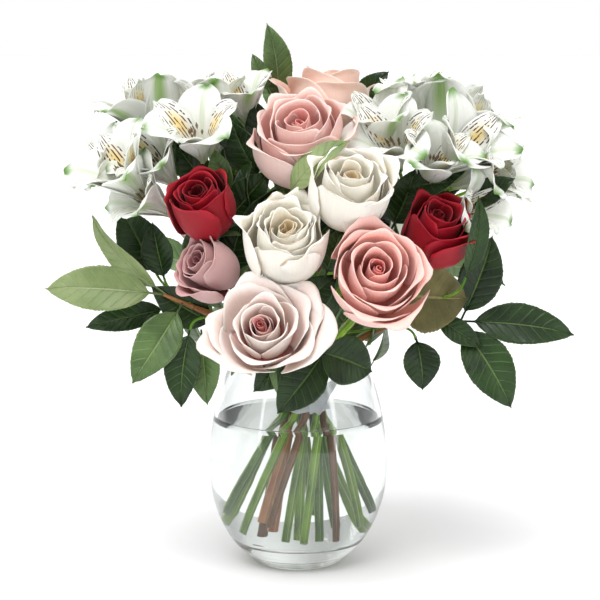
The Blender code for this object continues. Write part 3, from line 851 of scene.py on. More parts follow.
# %% [markdown]
# ## Lilies
# These small lilies have six tepals. Three outer ones are broad and white with green tips. Of the three
# inner ones, the two upper are narrow, yellow and flecked, and the lower one is nearly plain. Seven thin
# threads, six stamens and a style, reach out of the mouth, and a green ovary sits behind. All six tepals
# are one sheet each in one array, and the threads are tapering tubes.

# %% Lily builder
TEPAL_THICKNESS = 0.4 * MM
STAMENS, STYLES = 6, 1


def build_lily(name, foot, way, radius, length, seed):
    chance = np.random.default_rng(seed)
    right, up, out = facing_axes(way)
    turn = np.radians([90, 212, 328, 24, 156, 270]) + chance.normal(0, 0.08, 6)
    inner = np.array([0, 0, 0, 1, 1, 1.0])
    streaked = np.array([0, 0, 0, 1, 1, 0.35])
    vary, tint, wave = chance.normal(0, 1, (3, 6)), chance.uniform(0, 1, 6), chance.uniform(0, 6, 6)

    def lay(u, v, k):
        slim = inner[k]
        spread = radius * (1.5 - 0.25 * slim + 0.08 * vary[0][k])
        tall = length * (1.14 + 0.05 * slim + 0.04 * vary[1][k])
        s = v * (1 - 0.06 * np.abs(u) ** 2)
        rho = bezier(s, 0.05 * radius, 0.22 * radius, 0.42 * spread, spread)
        z = bezier(s, 0 * tall, 0.36 * tall, 0.8 * tall, tall)
        z = z - (0.16 + 0.06 * vary[2][k]) * length * eased((s - 0.72) / 0.3) ** 2 * (1 - 0.5 * slim)
        wide = np.where(slim > 0, 0.44 * radius, 0.74 * radius) * (1 + 0.06 * vary[0][k])
        wide = wide * (0.16 + 0.84 * eased((s - 0.04) / 0.56) ** 0.9)
        wide = wide * (1 - 0.97 * np.clip((s - 0.56) / 0.44, 0, 1) ** 2.1) ** (0.5 + 0.12 * slim)
        cup = (0.5 - 0.3 * slim) * wide * u * u * (1 - 0.7 * eased((s - 0.5) / 0.5))
        ripple = 0.05 * radius * np.sin(5 * u + wave[k]) * eased((s - 0.5) / 0.5)
        radial, across = spokes(turn[k], right, up)
        place = (rho - cup)[:, None] * radial + (u * wide)[:, None] * across
        return foot + place + (z + 0.5 * cup + ripple)[:, None] * out

    tepals, k = sheets(name + "_tepals", len(turn), 12, 20, lay)
    carry(tepals, inner=inner[k], streaked=streaked[k], tint=tint[k])
    finish_with(tepals, *LILY_FINISHES[::-1])
    thicken(tepals, TEPAL_THICKNESS, second_side=True)
    smooth(tepals)
    return tepals

# %% [markdown]
# ## Inside a lily
# The stamens bow outwards and carry a thick anther near their tips, and the style stands straight in the
# middle. One tube of changing width makes each, and another makes the ovary.

# %% Inside a lily
def build_lily_heart(name, foot, way, radius, length, seed):
    """The stamens with their anthers and the style, and the ovary behind the flower."""
    chance = np.random.default_rng(seed + 50)
    right, up, out = facing_axes(way)
    paths = []
    t = np.linspace(0, 1, 15)[:, None]
    for i in range(STAMENS + STYLES):
        angle = math.tau * i / STAMENS + chance.normal(0, 0.2)
        bow = 0.24 * radius * (0.4 + 0.6 * chance.random()) * (i < STAMENS)
        side = math.cos(angle) * right + math.sin(angle) * up
        spine = foot + out * t * length * (0.72 + 0.14 * chance.random()) + bow * t**1.3 * side
        spine = spine + up * 0.1 * radius * (t**2 - t)
        sizes = np.interp(t.ravel(), (0, 0.86, 0.88, 0.94, 1), (0.35, 0.3, 0.9, 1.0, 0.2)) * MM
        paths.append((spine, sizes))
    threads = tubes(name + "_threads", paths, 8)
    close(threads)
    carry(threads, tint=0.5)
    finish_with(threads, thread_finish)
    spine = foot + out * np.linspace(-0.6, 5.5, 15)[:, None] * MM
    sizes = np.interp(np.linspace(0, 1, 15), (0, 0.25, 0.6, 1), (1.2, 2.4, 2.6, 1.4)) * MM
    ovary = tubes(name + "_ovary", [(spine, sizes)], 12)
    close(ovary)
    finish_with(ovary, STEM_FINISHES["green"])
    return threads, ovary


def make_thread_finish():
    finish = Finish("lily threads", Specular_IOR_Level=0.3, Subsurface_Weight=0.05, Subsurface_Scale=0.3)
    _, along = finish.uv()
    dust = finish.noise(finish.object_place(), 900.0, 2.0)
    colour = finish.mix(along.rise(0.0, 0.8), tone(214, 222, 186), tone(238, 226, 218))
    colour = finish.mix(along.rise(0.84, 0.88), colour, tone(112, 92, 62))
    return finish.set(
        Base_Color=finish.shade(colour, 0.85 + dust * 0.3),
        Roughness=0.5 + dust * 0.2,
        Normal=finish.bump(dust, 0.0003, 0.6),
    )


thread_finish = make_thread_finish()


def grow_lily(name, seed, *node):
    hand_in(build_lily(name, *lilies[name], seed), "lily_petal", *node)
    threads, ovary = build_lily_heart(name, *lilies[name], seed)
    hand_in(threads, "lily_petal")
    hand_in(ovary, "stem")


for seed, node in enumerate(lilies):
    grow_lily(node, seed, node)

# %% [markdown]
# ## More lilies
# Eleven lilies without a solid of their own fill both clusters. The table gives each one's foot and the
# middle of its mouth in mm over the vase's rim, the radius of its mouth, and the stem that it grows on.

# %% More lilies
MORE_LILIES = {
    "lily_more_left_front": ((-82, -6, 118), (-106, -34, 150), 23, "lily_stem_left"),
    "lily_more_left_back": ((-58, -14, 136), (-64, 12, 178), 23, "lily_stem_left"),
    "lily_more_left_far": ((-92, -8, 132), (-98, 14, 176), 22, "lily_stem_left"),
    "lily_more_left_out": ((-104, 2, 116), (-140, -10, 138), 20, "lily_stem_left"),
    "lily_more_left_low": ((-84, -20, 100), (-112, -44, 122), 20, "lily_stem_left"),
    "lily_more_right_back": ((96, -10, 134), (104, 14, 176), 24, "lily_stem_right"),
    "lily_more_right_in": ((66, -4, 132), (54, -20, 176), 20, "lily_stem_right"),
    "lily_more_right_front": ((86, -16, 116), (96, -44, 152), 22, "lily_stem_right"),
    "lily_more_right_out": ((104, -4, 118), (142, -24, 136), 22, "lily_stem_right"),
    "lily_more_right_low": ((100, -18, 100), (128, -46, 112), 18, "lily_stem_right"),
    "lily_more_right_far": ((104, 6, 134), (130, 8, 172), 20, "lily_stem_right"),
}
for seed, (name, (foot, mouth, radius, host)) in enumerate(MORE_LILIES.items()):
    foot, mouth = spot(foot), spot(mouth)
    lilies[name] = foot, unit(mouth - foot), radius * MM, np.linalg.norm(mouth - foot)
    lily_hosts[name] = host
    grow_lily(name, seed + 20)

# %% [markdown]
# ## Stems
# A stem is a tube along the centres of its CAD node's rings. A rose stem swells into a hip under the
# flower and has a few joints where leaves grew. A lily stem divides into one thin stalk per flower, so
# its tube is joined by one more tube from the fork to each lily.

# %% Stems
STEM_ROWS = 60
STEM_JOINTS, JOINT_SWELL = 4, 0.35 * MM
HIP = np.array((1.0, 1.25, 1.2, 0.9))  # a rose stem's last rows, as shares of its width
BROWN_STEMS = ("stem_cream_centre", "stem_red_left")


def stem_path(node, seed):
    """A stem's smooth spine, and its radii with a slight swelling at each joint."""
    centres, radii = stems[node]
    chance = np.random.default_rng(seed)
    spine = curve_through(centres, STEM_ROWS)
    size = np.interp(np.linspace(0, len(radii) - 1, STEM_ROWS), range(len(radii)), radii)
    for joint in chance.uniform(6, STEM_ROWS - 8, STEM_JOINTS):
        size = size + JOINT_SWELL * np.exp(-((np.arange(STEM_ROWS) - joint) ** 2) / 1.4)
    return spine, size


for seed, node in enumerate(sorted(stems)):
    spine, size = stem_path(node, seed)
    if node.startswith("stem"):
        size[-len(HIP) :] = HIP * size[-1] * 0.96
        spine[-1] = spine[-2] + (spine[-1] - spine[-2]) * 1.05
    paths = [(spine, size)]
    rise = unit(spine[-1] - spine[-2])
    for lily, host in lily_hosts.items():
        if host == node:
            foot, way = lilies[lily][:2]
            stalk = hermite(spine[-1] - 1.5 * MM * rise, rise, foot + 0.3 * MM * way, way, STEM_ROWS)
            thin = np.interp(np.linspace(0, 1, STEM_ROWS), (0, 0.1, 1), (1.5, 1.1, 1.3)) * MM
            paths.append((stalk, thin))
    woody = "sprig" in node
    piece = tubes(node + ("_stem" if woody else "_tube"), paths)
    close(piece)
    kind = "twig" if woody else "brown" if node in BROWN_STEMS else "green" if seed % 3 else "deep"
    finish_with(piece, STEM_FINISHES[kind])
    hand_in(piece, "twig" if woody else "stem", node)

# %% [markdown]
# ## Leaves
# Every leaf is a folded, slightly bulged blade with an oval outline that runs out to a point. Its margin
# is finely toothed and wavy, the blade puffs up between its side veins, and its tip turns down. The
# table gives each leaf's foot and tip in mm over the vase's rim, the way its upper side faces, its width,
# its bulge, its finish, and the stem and height where its stalk grows. Sprig leaves need no stalk, and
# fillers are leaves without a solid that close the gaps between the flowers.

# %% Leaf table
LEAVES = {
    "leaf_left_behind": ((-97, -8, 56), (-123, -6, 105), (-0.1, -1, 0.3), 30, 3, "dark", "sprig_left", 30),
    "leaf_left_upright": ((-91, -30, 56), (-100, -26, 97), (-0.2, -1, 0.1), 22, 2, "dark", "sprig_left", 39),
    "leaf_left_low": ((-88, -12, 36), (-148, -14, 23), (-0.1, -1, 0.5), 20, 4, "dark", "sprig_left", 20),
    "leaf_down_left": ((-73, -48, 29), (-80, -58, -25), (-0.25, -1, 0), 25, 3, "dark", "stem_mauve_left", 20),
    "leaf_front_down": (
        (20, -60, 16), (-14, -70, -27), (-0.1, -1, 0.1), 30, 4, "dark", "stem_blush_front", 8
    ),
    "leaf_front_right": ((12, -80, 18), (50, -76, 3), (0.1, -1, 0.15), 33, 3, "dark", "stem_blush_front", 14),
    "leaf_olive_round": (
        (60, -53, 52), (116, -45, 47), (0.1, -1, -0.1), 46, 3, "olive", "stem_coral_right", 38
    ),
    "leaf_down_right": ((80, -46, 22), (85, -54, -14), (0.15, -1, 0), 25, 3, "dark", "stem_coral_right", 22),
    "leaf_over_red": ((112, -62, 62), (121, -72, 120), (0.5, -1, 0.2), 16, 2, "dark", "stem_red_right", 44),
    "leaf_right_top": (
        (116, -26, 108), (146, -40, 129), (0.1, -1, 0.4), 18, 2, "dark", "lily_stem_right", 64
    ),
    "leaf_top": ((-14, 54, 170), (-21, 47, 229), (0.4, -1, 0.1), 22, 4, "green", "stem_peach_top", 98),
    "leaf_top_right": ((40, 62, 168), (64, 54, 195), (-0.3, -1, 0.3), 20, 3, "dark", "stem_peach_top", 108),
    "leaf_back_top": ((2, 66, 158), (-28, 78, 194), (0, 1, 0.2), 24, 4, "dark", "stem_peach_top", 84),
    "leaf_back_low": ((26, 72, 24), (54, 94, -8), (0.2, 1, 0.3), 30, 4, "dark", "stem_red_back", 12),
    "leaf_back_down": ((-38, 62, 28), (-60, 88, -10), (-0.2, 1, 0.3), 30, 4, "dark", "stem_pink_back", 24),
    "leaf_back_left": ((-70, 40, 56), (-124, 62, 60), (-0.2, 1, 0.5), 30, 5, "dark", "stem_pink_back", 42),
}
SPRIG_LEAVES = {
    "sprig_left": (
        ((-92, -37, 49), (-175, -26, 52), (0.1, -1, 0.35), 31, 5, "fresh"),
        ((-90, -37, 49), (-142, -34, 101), (-0.8, -0.6, 0.1), 20, 4, "fresh"),
        ((-79, -38, 43), (-113, -54, -9), (-0.2, -1, 0.1), 30, 4, "green"),
    ),
    "sprig_right": (
        ((112, -34, 31), (134, -26, 88), (0.2, -1, 0.2), 30, 4, "dark"),
        ((112, -34, 30), (191, -28, 20), (0.1, -1, 0.4), 28, 5, "dark"),
        ((110, -34, 29), (147, -44, -29), (0.1, -1, 0.2), 32, 5, "dark"),
    ),
    "sprig_back": (
        ((100, 68, 56), (138, 96, 88), (0.5, 1, 0.4), 28, 4, "dark"),
        ((99, 67, 55), (152, 84, 38), (0.4, 1, 0.5), 28, 5, "dark"),
        ((96, 66, 54), (100, 100, 2), (0.2, 1, 0.2), 28, 4, "dark"),
    ),
}
# Each sprig's twig goes on from its stem to these points.
SPRIG_ENDS = {
    "sprig_left": ((-76, -36, 42), (-92, -37, 49)),
    "sprig_right": ((98, -34, 32), (112, -34, 30)),
    "sprig_back": ((84, 56, 46), (100, 68, 56)),
}
FILLERS = {
    "leaf_arched": ((-8, -62, 118), (33, -64, 158), (-0.5, -0.8, 0.5), 21, 8, "fresh"),
    "leaf_bud_left": ((-44, -40, 118), (-57, -34, 148), (-0.3, -1, 0.2), 16, 3, "green"),
    "leaf_blue_left": ((-40, -16, 140), (-50, -8, 172), (-0.2, -1, 0.2), 20, 3, "dark"),
    "leaf_between_whites": ((18, -70, 66), (30, -72, 100), (0.2, -1, 0.1), 20, 3, "dark"),
    "leaf_under_white": ((68, -25, 122), (106, -32, 126), (0.1, -1, 0.4), 20, 3, "dark"),
    "leaf_small_right": ((92, -40, 36), (126, -44, 14), (0.1, -1, 0.3), 16, 2, "dark"),
    "leaf_behind_mauve": ((-60, -40, 60), (-66, -44, 104), (-0.3, -1, 0.2), 26, 3, "dark"),
    "leaf_second_down": ((-66, -44, 26), (-62, -56, -24), (-0.1, -1, 0), 22, 3, "green"),
    "leaf_middle_a": ((-50, -20, 96), (-20, -28, 132), (-0.1, -1, 0.2), 26, 3, "dark"),
    "leaf_middle_b": ((-34, -24, 78), (-12, -32, 122), (0.1, -1, 0.2), 26, 3, "dark"),
    "leaf_middle_c": ((0, -24, 78), (16, -32, 122), (0.1, -1, 0.1), 26, 3, "green"),
    "leaf_middle_d": ((-54, -28, 52), (-38, -36, 100), (-0.1, -1, 0.1), 26, 3, "dark"),
    "leaf_middle_e": ((34, -30, 56), (26, -38, 104), (0.1, -1, 0.1), 26, 3, "dark"),
    "leaf_middle_f": ((64, -24, 92), (80, -30, 134), (0.1, -1, 0.1), 26, 3, "dark"),
    "leaf_middle_g": ((-2, -56, 40), (26, -64, 66), (0.1, -1, 0.2), 22, 3, "dark"),
    "leaf_gap_left": ((-50, -10, 110), (-84, -14, 150), (-0.2, -1, 0.2), 24, 3, "dark"),
    "leaf_gap_lilies": ((-70, 8, 120), (-100, 12, 166), (-0.2, -1, 0.2), 26, 3, "green"),
    "leaf_gap_right": ((84, 2, 108), (122, -2, 144), (0.1, -1, 0.2), 26, 3, "dark"),
    "leaf_gap_top": ((-16, 0, 130), (-30, 4, 178), (-0.1, -1, 0.2), 24, 3, "dark"),
    "leaf_low_left": ((-56, -26, 26), (-100, -36, 54), (-0.1, -1, 0.2), 26, 3, "dark"),
    "leaf_low_middle": ((2, -50, 20), (-30, -60, -14), (-0.1, -1, 0.1), 24, 3, "dark"),
    "leaf_tip_top_left": ((-20, 40, 180), (-32, 44, 208), (0.2, -1, 0.1), 12, 2, "green"),
}
on_sprigs = sum(len(group) for group in SPRIG_LEAVES.values())
print(len(LEAVES) + len(FILLERS) + on_sprigs, "leaves, over a rim at", round(RIM / MM), "mm")

# %% [markdown]
# ## Leaf builder
# One grid is laid along the line from foot to tip: its outline, teeth, fold, puffs and groove are all
# formulas of the place across and along. Where a host stem is named, a thin stalk joins the blade to it.

# %% Leaf builder
WIDEST = 0.42  # share of a blade's length where it is widest
STALK_SHARE = 0.12  # share of the length before the blade begins
TOOTH = 2.6 * MM
LEAF_THICKNESS, STALK_RADIUS = 0.5 * MM, 0.9 * MM
STALK_ROWS = 20


def outline(s):
    """Half width of a blade, from 0 to 1, at a share s of its length."""
    s = np.clip(s, 0, 1)
    return (s / WIDEST) ** 0.7 * ((1 - s) / (1 - WIDEST)) ** (0.7 * (1 - WIDEST) / WIDEST)


def build_leaf(name, foot, tip, upper, width, bulge, finish, host=None, height=0, seed=0):
    chance = np.random.default_rng(seed + 200)
    start, end, wave = spot(foot), spot(tip), chance.uniform(0, 6, 3)
    length = np.linalg.norm(end - start)
    along = unit(end - start)
    across = unit(np.cross(along, upper))
    normal = np.cross(across, along)
    teeth = round(length / TOOTH)

    def lay(u, v, k):
        s = np.clip((v - STALK_SHARE) / (1 - STALK_SHARE), 0, 1)
        half = np.maximum(0.7 * MM, width * MM / 2 * outline(s))
        half = np.where(s > 0.93, half * (1 - s) / 0.07 + 0.15 * MM, half)
        notch = (s * teeth) % 1
        half = half * (1 + 0.045 * (np.abs(u) > 0.95) * notch * (s > 0.02) * (s < 0.97))
        lift = bulge * MM * np.sin(math.pi * v) - 0.05 * length * eased((v - 0.75) / 0.25) ** 2
        fold = np.abs(u) * half * 0.25 * (1 + 0.4 * np.sin(wave[0] + 3 * v))
        between_veins = np.abs(np.sin(math.pi * (v * SIDE_VEINS - 1.5 * np.abs(u))))
        puff = 0.3 * MM * between_veins * np.sin(math.pi * np.abs(u)) * (s > 0)
        wavy = 0.035 * width * MM * np.abs(u) ** 2 * np.sin(11 * v + wave[1] + 1.6 * np.sign(u)) * (s > 0)
        groove = -0.5 * MM * np.exp(-((u / 0.06) ** 2)) * (s > 0)
        sway = 0.03 * length * np.sin(math.pi * v) * math.sin(wave[2])
        place = start + (v * length)[:, None] * along + (u * half + sway)[:, None] * across
        return place + (lift + fold + puff + wavy + groove)[:, None] * normal

    blade, _ = sheets(name, 1, 20, max(40, 2 * teeth), lay)
    carry(blade, tint=chance.uniform(0, 1))
    finish_with(blade, LEAF_FINISHES[finish], UNDERSIDE)
    thicken(blade, LEAF_THICKNESS, second_side=True)
    smooth(blade)
    if not host:
        return blade
    centres = stem_path(host, sorted(stems).index(host))[0]
    i = np.argmin(np.abs(centres[:, 2] - RIM - height * MM))
    out = unit(start - centres[i])
    stalk = hermite(centres[i], out, start + 3 * MM * along, along, STALK_ROWS)
    piece = tubes(name + "_stalk", [(stalk, np.full(STALK_ROWS, STALK_RADIUS))], 8)
    close(piece)
    carry(piece, tint=0.5)
    finish_with(piece, STEM_FINISHES["deep"])
    return join(name, [blade, piece])


for seed, (node, spec) in enumerate(LEAVES.items()):
    leaf = build_leaf(node + "_blade", *spec, seed=seed)
    hand_in(leaf, "leaf", node)
for seed, (name, spec) in enumerate(FILLERS.items()):
    hand_in(build_leaf(name, *spec, seed=seed + 40), "leaf")

# %% [markdown]
# ## Inner leaves and sprigs
# Small leaves close the middle of the bunch, like scales that face outwards. They climb in a spiral, and
# every fourth one is lighter. Then each sprig gets its forked twig and its leaves.

# %% Inner leaves and sprigs
INNER_LEAVES = 44
LOWEST, CLIMB = 8, 142  # mm over the vase's rim
chance = np.random.default_rng(11)
scales = []
for i in range(INNER_LEAVES):
    around = GOLDEN_ANGLE * i
    lift = LOWEST + CLIMB * (i / (INNER_LEAVES - 1))
    ring = (46 - 20 * max(0, lift - 90) / 60) * (0.85 + 0.25 * chance.random())
    out = np.array((1.25 * math.cos(around), 0.85 * math.sin(around), 0))
    side = np.array((-math.sin(around), math.cos(around), 0)) * chance.normal(0, 14)
    foot = ring * out + side * 0.3 + (0, 0, lift - 18)
    tip = foot + side + 9 * out + (0, 0, 40)
    kind = "green" if i % 4 == 0 else "dark"
    scales.append(build_leaf(f"scale_{i}", foot, tip, out + (0, 0, 0.3), 27, 4, kind, seed=i + 90))
groups = {"green": scales[::4], "dark": [leaf for i, leaf in enumerate(scales) if i % 4]}
for kind, group in groups.items():
    hand_in(join(f"inner_leaves_{kind}", group), "leaf")
for node, group in SPRIG_LEAVES.items():
    blades = [build_leaf(f"{node}_{i}", *spec, seed=i + 70) for i, spec in enumerate(group)]
    centres = stems[node][0]
    points = [centres[-1], *(spot(end) for end in SPRIG_ENDS[node])]
    if np.linalg.norm(points[1] - points[0]) < 4 * MM:
        points = [points[0], points[2]]
    twig = tubes(f"{node}_fork", [(curve_through(points, 20), np.linspace(2.0, 1.2, 20) * MM)])
    close(twig)
    finish_with(twig, STEM_FINISHES["twig"])
    hand_in(twig, "twig")
    hand_in(join(node + "_leaves", blades), "leaf")

# %% [markdown]
# ## Glass and water
# The vase is turned: its section is drawn once and spun round the axis, as a lathe or a mould would
# form it. The section is read from the CAD node, corner by corner, and smoothed. The water takes the
# inner half of the same section, pushed a hair into the glass so that no film of air is left between
# them, and it climbs a little at the wall, as water does.

# %% Section of the vase
def section(node):
    """The corners of a turned CAD solid's half section, from the middle of its foot."""
    points, triangles = welded(node)
    near = neighbours(points, triangles)
    flat = {i for i, p in enumerate(points) if abs(p[1]) < TINY and p[0] > -TINY}
    walk = [min(flat, key=lambda i: (points[i][2], points[i][0]))]
    while True:
        ahead = [i for i in near[walk[-1]] if i in flat and i not in walk]
        if not ahead:
            return points[walk][:, [0, 2]]
        walk.append(ahead[0])


def blend(t, start, end, first, second):
    """The point between two others, at t on the way from start to end."""
    return ((end - t) * first + (t - start) * second) / (end - start)


def rounded(corners, steps=6):
    """A smooth line through the corners; the two flat ends stay straight."""
    body = corners[1:-1]
    padded = np.vstack([2 * body[0] - body[1], body, 2 * body[-1] - body[-2]])
    line = [corners[0]]
    for a, b, c, d in zip(padded, padded[1:], padded[2:], padded[3:]):
        sides = ((a, b), (b, c), (c, d))
        knots = np.cumsum([0] + [np.linalg.norm(q - p) ** 0.5 for p, q in sides])
        for t in np.linspace(knots[1], knots[2], steps, endpoint=False):
            m = [blend(t, knots[i], knots[i + 1], p, q) for i, (p, q) in enumerate(sides)]
            n = [blend(t, knots[i], knots[i + 2], m[i], m[i + 1]) for i in (0, 1)]
            line.append(blend(t, knots[1], knots[2], *n))
    return np.array(line + [body[-1], corners[-1]])


def turned(name, line, steps=128):
    """The line spun round the Z axis into a closed piece."""
    mesh = bpy.data.meshes.new(name)
    mesh.from_pydata([(x, 0, z) for x, z in line], [(i, i + 1) for i in range(len(line) - 1)], [])
    piece = bpy.data.objects.new(name, mesh)
    bpy.context.collection.objects.link(piece)
    spin = {"steps": steps, "angle": math.tau, "center": (0, 0, 0), "axis": (0, 0, 1)}
    edit(piece, (bpy.ops.mesh.spin, spin), MERGE, FACE_OUT)
    smooth(piece)
    return piece

# %% [markdown]
# ## Glass and water finishes
# Both are clear and faintly tinted, or they would vanish against white. Blown glass is uneven, so a slow
# bump pulls its highlights about, and finer rings show low down in the thick foot.

# %% Glass and water finishes
GLASS_BENDING, WATER_BENDING, SURFACE_BENDING = 1.46, 1.333, 1.12


def clear_finish(name, bending, tint, gloss):
    return Finish(name, Transmission_Weight=1.0, IOR=bending, Base_Color=tint, Specular_IOR_Level=gloss)


def glass_finish():
    finish = clear_finish("clear glass", GLASS_BENDING, (0.93, 0.948, 0.943, 1), 0.3)
    place = finish.object_place()
    split = finish.node("ShaderNodeSeparateXYZ", {}, {0: place})
    height = Value(finish, split.socket.node.outputs[2])
    pull = finish.noise(place, 16.0, 1.0)
    rings_of_the_foot = finish.noise(finish.join(height * 900.0, 0.0, 0.0), 1.0, 2.0)
    smear = finish.noise(place, 60.0, 3.0).rise(0.55, 0.8)
    low = height.rise(0.018, 0.004)
    return finish.set(
        Roughness=smear * 0.02,
        Normal=finish.bump(pull + rings_of_the_foot * low * 0.6, 0.0016, 0.5),
    )


def water_finish(name, bending):
    finish = clear_finish(name, bending, (0.94, 0.955, 0.94, 1), 0.1)
    place = finish.object_place()
    ripple = finish.noise(place, 45.0, 1.0)
    motes = finish.noise(place, 900.0, 1.0).rise(0.74, 0.8)
    return finish.set(Roughness=motes * 0.12, Normal=finish.bump(ripple, 0.0008, 0.3))


print("glass bends light by", GLASS_BENDING, "and water by", WATER_BENDING)

# %% [markdown]
# ## The vase
# Its section is read, rounded and spun, and the glass finish goes on the whole piece.

# %% Vase
corners = section("vase")
line = rounded(corners)
print("the vase's section has", len(corners), "corners, and", len(line), "points once rounded")
vase = turned("vase_glass", line)
finish_with(vase, glass_finish())
hand_in(vase, "glass", "vase")

# %% [markdown]
# ## Filling the vase
# The water's section follows the wall up to just under its level, then runs in along the surface, which
# falls off steeply from the wall to the flat middle. Water bends light by 1.333. Its surface is given
# less than that, which is not physical, so that the stems jump less where they pass through it.

# %% Water
PUSH = 0.12 * MM  # how far the water reaches into the glass
CLIMB_HEIGHT, CLIMB_WIDTH = 1.6 * MM, 1.1 * MM
SURFACE_DEPTH = 0.3 * MM  # faces above this depth belong to the surface
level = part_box("water")[1].z
top = int(np.argmax(line[:, 1]))
inner = line[top:][::-1]
wet = inner[inner[:, 1] < level - 0.5 * MM]
wall_radius = np.interp(level + 1.4 * MM, inner[3:, 1], inner[3:, 0])
wet = wet + np.column_stack([np.where(wet[:, 0] > TINY, PUSH, 0), np.full(len(wet), -PUSH)])
distance = np.array((0, 0.4, 0.9, 1.6, 2.6, 4.0, 7.0)) * MM
climb = level + CLIMB_HEIGHT * np.exp(-distance / CLIMB_WIDTH)
surface = np.column_stack([wall_radius + PUSH - distance, climb])
water = turned("vase_water", np.vstack([wet, surface, [(0, level)]]))
finish_with(water, water_finish("water", WATER_BENDING), water_finish("water surface", SURFACE_BENDING))
for face in water.data.polygons:
    face.material_index = int(face.center.z > level - SURFACE_DEPTH)
hand_in(water, "water", "water")
print("the water stands", round(level / MM), "mm high")

# %% [markdown]
# ## Band round the stems
# A strip of milky film holds the bunch together at its waist. It is crumpled, wider at its edges than in
# the middle, and its free end sticks out at the front.

# %% Band
def band_finish():
    finish = Finish("milky film", Specular_IOR_Level=0.5, Subsurface_Weight=0.1, Subsurface_Scale=0.2)
    place = finish.object_place()
    crease = finish.noise(place, 240.0, 3.0)
    haze = finish.noise(place, 70.0, 2.0)
    colour = finish.mix(haze, tone(232, 237, 247), tone(250, 252, 255))
    return finish.set(
        Base_Color=colour,
        Roughness=0.22 + haze * 0.2,
        Alpha=0.62 + haze * 0.3,
        Normal=finish.bump(crease, 0.0012, 0.7),
    )


FILM_THICKNESS = 0.3 * MM
tie_low, tie_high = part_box("tie")
tie_middle = np.array((tie_low + tie_high) / 2)
tie_radius = (tie_high.x - tie_low.x) / 2


def lay_band(u, v, k):
    angle = u * math.pi
    waist = 1 - 0.12 * (1 - (2 * v - 1) ** 2)
    crumple = 0.012 * np.sin(23 * angle + 3 * v) + 0.016 * np.sin(9 * angle - 4 * v) * (2 * v - 1)
    rho = (tie_radius - 0.6 * MM) * (waist + crumple)
    height = (v - 0.5) * (tie_high.z - tie_low.z) + 0.6 * MM * np.sin(7 * angle)
    return tie_middle + np.column_stack([rho * np.sin(angle), -rho * np.cos(angle), height])


band, _ = sheets("tie_band", 1, 144, 14, lay_band)
edit(band, MERGE)


def lay_tail(u, v, k):
    """The free end, which leaves the front of the band and flares upward to the right."""
    tall = (tie_high.z - tie_low.z) / 2
    x = 4 * MM + (15 + 7 * u) * MM * v
    y = -tie_radius * np.sqrt(1 - (0.5 * v) ** 2) - 1.2 * MM - 7 * MM * v**2
    z = u * tall * (0.95 + 0.25 * v) + 12 * MM * v**1.6 * (0.6 + 0.4 * u) + 0.9 * MM * np.sin(9 * v + 2.5 * u)
    return tie_middle + np.column_stack([x, y + 0.8 * MM * np.sin(5 * u + 6 * v), z])


tail, _ = sheets("tie_tail", 1, 16, 16, lay_tail)
film = band_finish()
for piece in (band, tail):
    finish_with(piece, film)
    thicken(piece, FILM_THICKNESS)
    smooth(piece)
hand_in(band, "clear_tape", "tie")
hand_in(tail, "clear_tape")
print("the band is", round(2 * tie_radius / MM), "mm wide")

# %% [markdown]
# ## Studio
# A pale floor, white surroundings, one broad soft lamp from above and a tall panel at each side. Glass
# shows itself only by what it bends, so the surroundings that it sees are darker low down than the white
# backdrop, and striped round the room. The floor gives off a little light, so that it reads as white.

# %% Floor and surroundings
bpy.ops.object.select_all(action="DESELECT")
bpy.ops.mesh.primitive_circle_add(vertices=96, radius=6, fill_type="NGON", location=(0, 0, -0.0002))
floor = bpy.context.object
floor.name = "studio_floor"
WHITE = (1, 1, 1, 1)
floor_finish = Finish(
    "pale floor", Specular_IOR_Level=0.1, Emission_Color=WHITE, Emission_Strength=0.07
)
grain = floor_finish.noise(floor_finish.object_place(), 30.0, 3.0)
floor_colour = floor_finish.shade(tone(244, 244, 245), 0.99 + grain * 0.02)
finish_with(floor, floor_finish.set(Base_Color=floor_colour, Roughness=0.7 + grain * 0.1))

world = bpy.data.worlds.new("studio")
bpy.context.scene.world = world
world.use_nodes = True
air = world.node_tree
background = air.nodes["Background"]


def air_node(kind, settings, inputs):
    made = air.nodes.new(kind)
    for key, value in settings.items():
        setattr(made, key, value)
    for key, value in inputs.items():
        if hasattr(value, "node"):
            air.links.new(value, made.inputs[key])
        else:
            made.inputs[key].default_value = value
    return made


def air_math(operation, *inputs):
    return air_node("ShaderNodeMath", {"operation": operation}, dict(enumerate(inputs))).outputs[0]


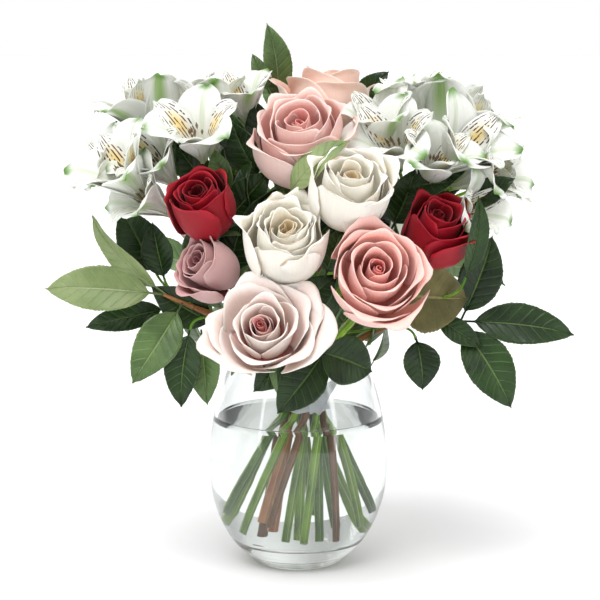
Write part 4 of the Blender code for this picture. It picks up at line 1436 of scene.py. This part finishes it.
STRIPES, STRIPE_DEPTH, STRIPE_MIDDLE = 7.0, 0.26, 0.88
way = air_node("ShaderNodeTexCoord", {}, {})
parts = air_node("ShaderNodeSeparateXYZ", {}, {0: way.outputs["Generated"]})
ramp = {"Value": parts.outputs[2], "From Min": -0.1, "From Max": 0.8, "To Min": 0.72, "To Max": 1.06}
glow = air_node("ShaderNodeMapRange", {"interpolation_type": "SMOOTHSTEP"}, ramp)
bearing = air_math("ARCTAN2", parts.outputs[0], parts.outputs[1])
stripes = air_math("SINE", air_math("MULTIPLY", bearing, STRIPES))
stripes = air_math("MULTIPLY_ADD", stripes, STRIPE_DEPTH, STRIPE_MIDDLE)
light = air_math("MULTIPLY", glow.outputs[0], stripes)
path = air_node("ShaderNodeLightPath", {}, {})
seen = air_math("MAXIMUM", path.outputs["Is Camera Ray"], light)
air.links.new(seen, background.inputs["Strength"])
background.inputs["Color"].default_value = WHITE
print("the floor lies", round(-floor.location.z / MM, 1), "mm under the vase's foot")

# %% [markdown]
# ## Lamps and camera
# The broad lamp leaves soft shadows, and the two panels draw tall highlights on the glass.

# %% Lamps and camera

LAMP_POWER, LAMP_SPREAD = 1.9, math.radians(40)
lamp = bpy.data.objects.new("window", bpy.data.lights.new("window", "SUN"))
lamp.data.energy, lamp.data.angle = LAMP_POWER, LAMP_SPREAD
lamp.rotation_euler = Vector((0.2, 0.5, -1.0)).to_track_quat("-Z", "Y").to_euler()
bpy.context.collection.objects.link(lamp)
for side, wide, power in ((1, 0.16, 2.2), (-1, 0.1, 1.6)):
    panel = bpy.data.objects.new(f"panel_{side}", bpy.data.lights.new(f"panel_{side}", "AREA"))
    panel.data.shape, panel.data.size, panel.data.size_y, panel.data.energy = "RECTANGLE", wide, 1.1, power
    panel.location = (1.1 * side, -0.9, 0.6)
    panel.rotation_euler = (Vector((0, 0, 0.15)) - panel.location).to_track_quat("-Z", "Y").to_euler()
    bpy.context.collection.objects.link(panel)
bpy.context.scene.view_settings.view_transform = "Standard"

CAMERA_DISTANCE, CAMERA_RISE, CAMERA_LENS = 1.6, math.radians(9.5), 137.14
aim = Vector((0.0014, 0, 0.187))
camera = bpy.data.objects.new("camera", bpy.data.cameras.new("camera"))
camera.data.lens = CAMERA_LENS
back = Vector((0, -math.cos(CAMERA_RISE), math.sin(CAMERA_RISE)))
camera.location = aim + CAMERA_DISTANCE * back
camera.rotation_euler = (math.pi / 2 - CAMERA_RISE, 0, 0)
bpy.context.collection.objects.link(camera)
bpy.context.scene.camera = camera
print("the camera stands", CAMERA_DISTANCE, "m away")
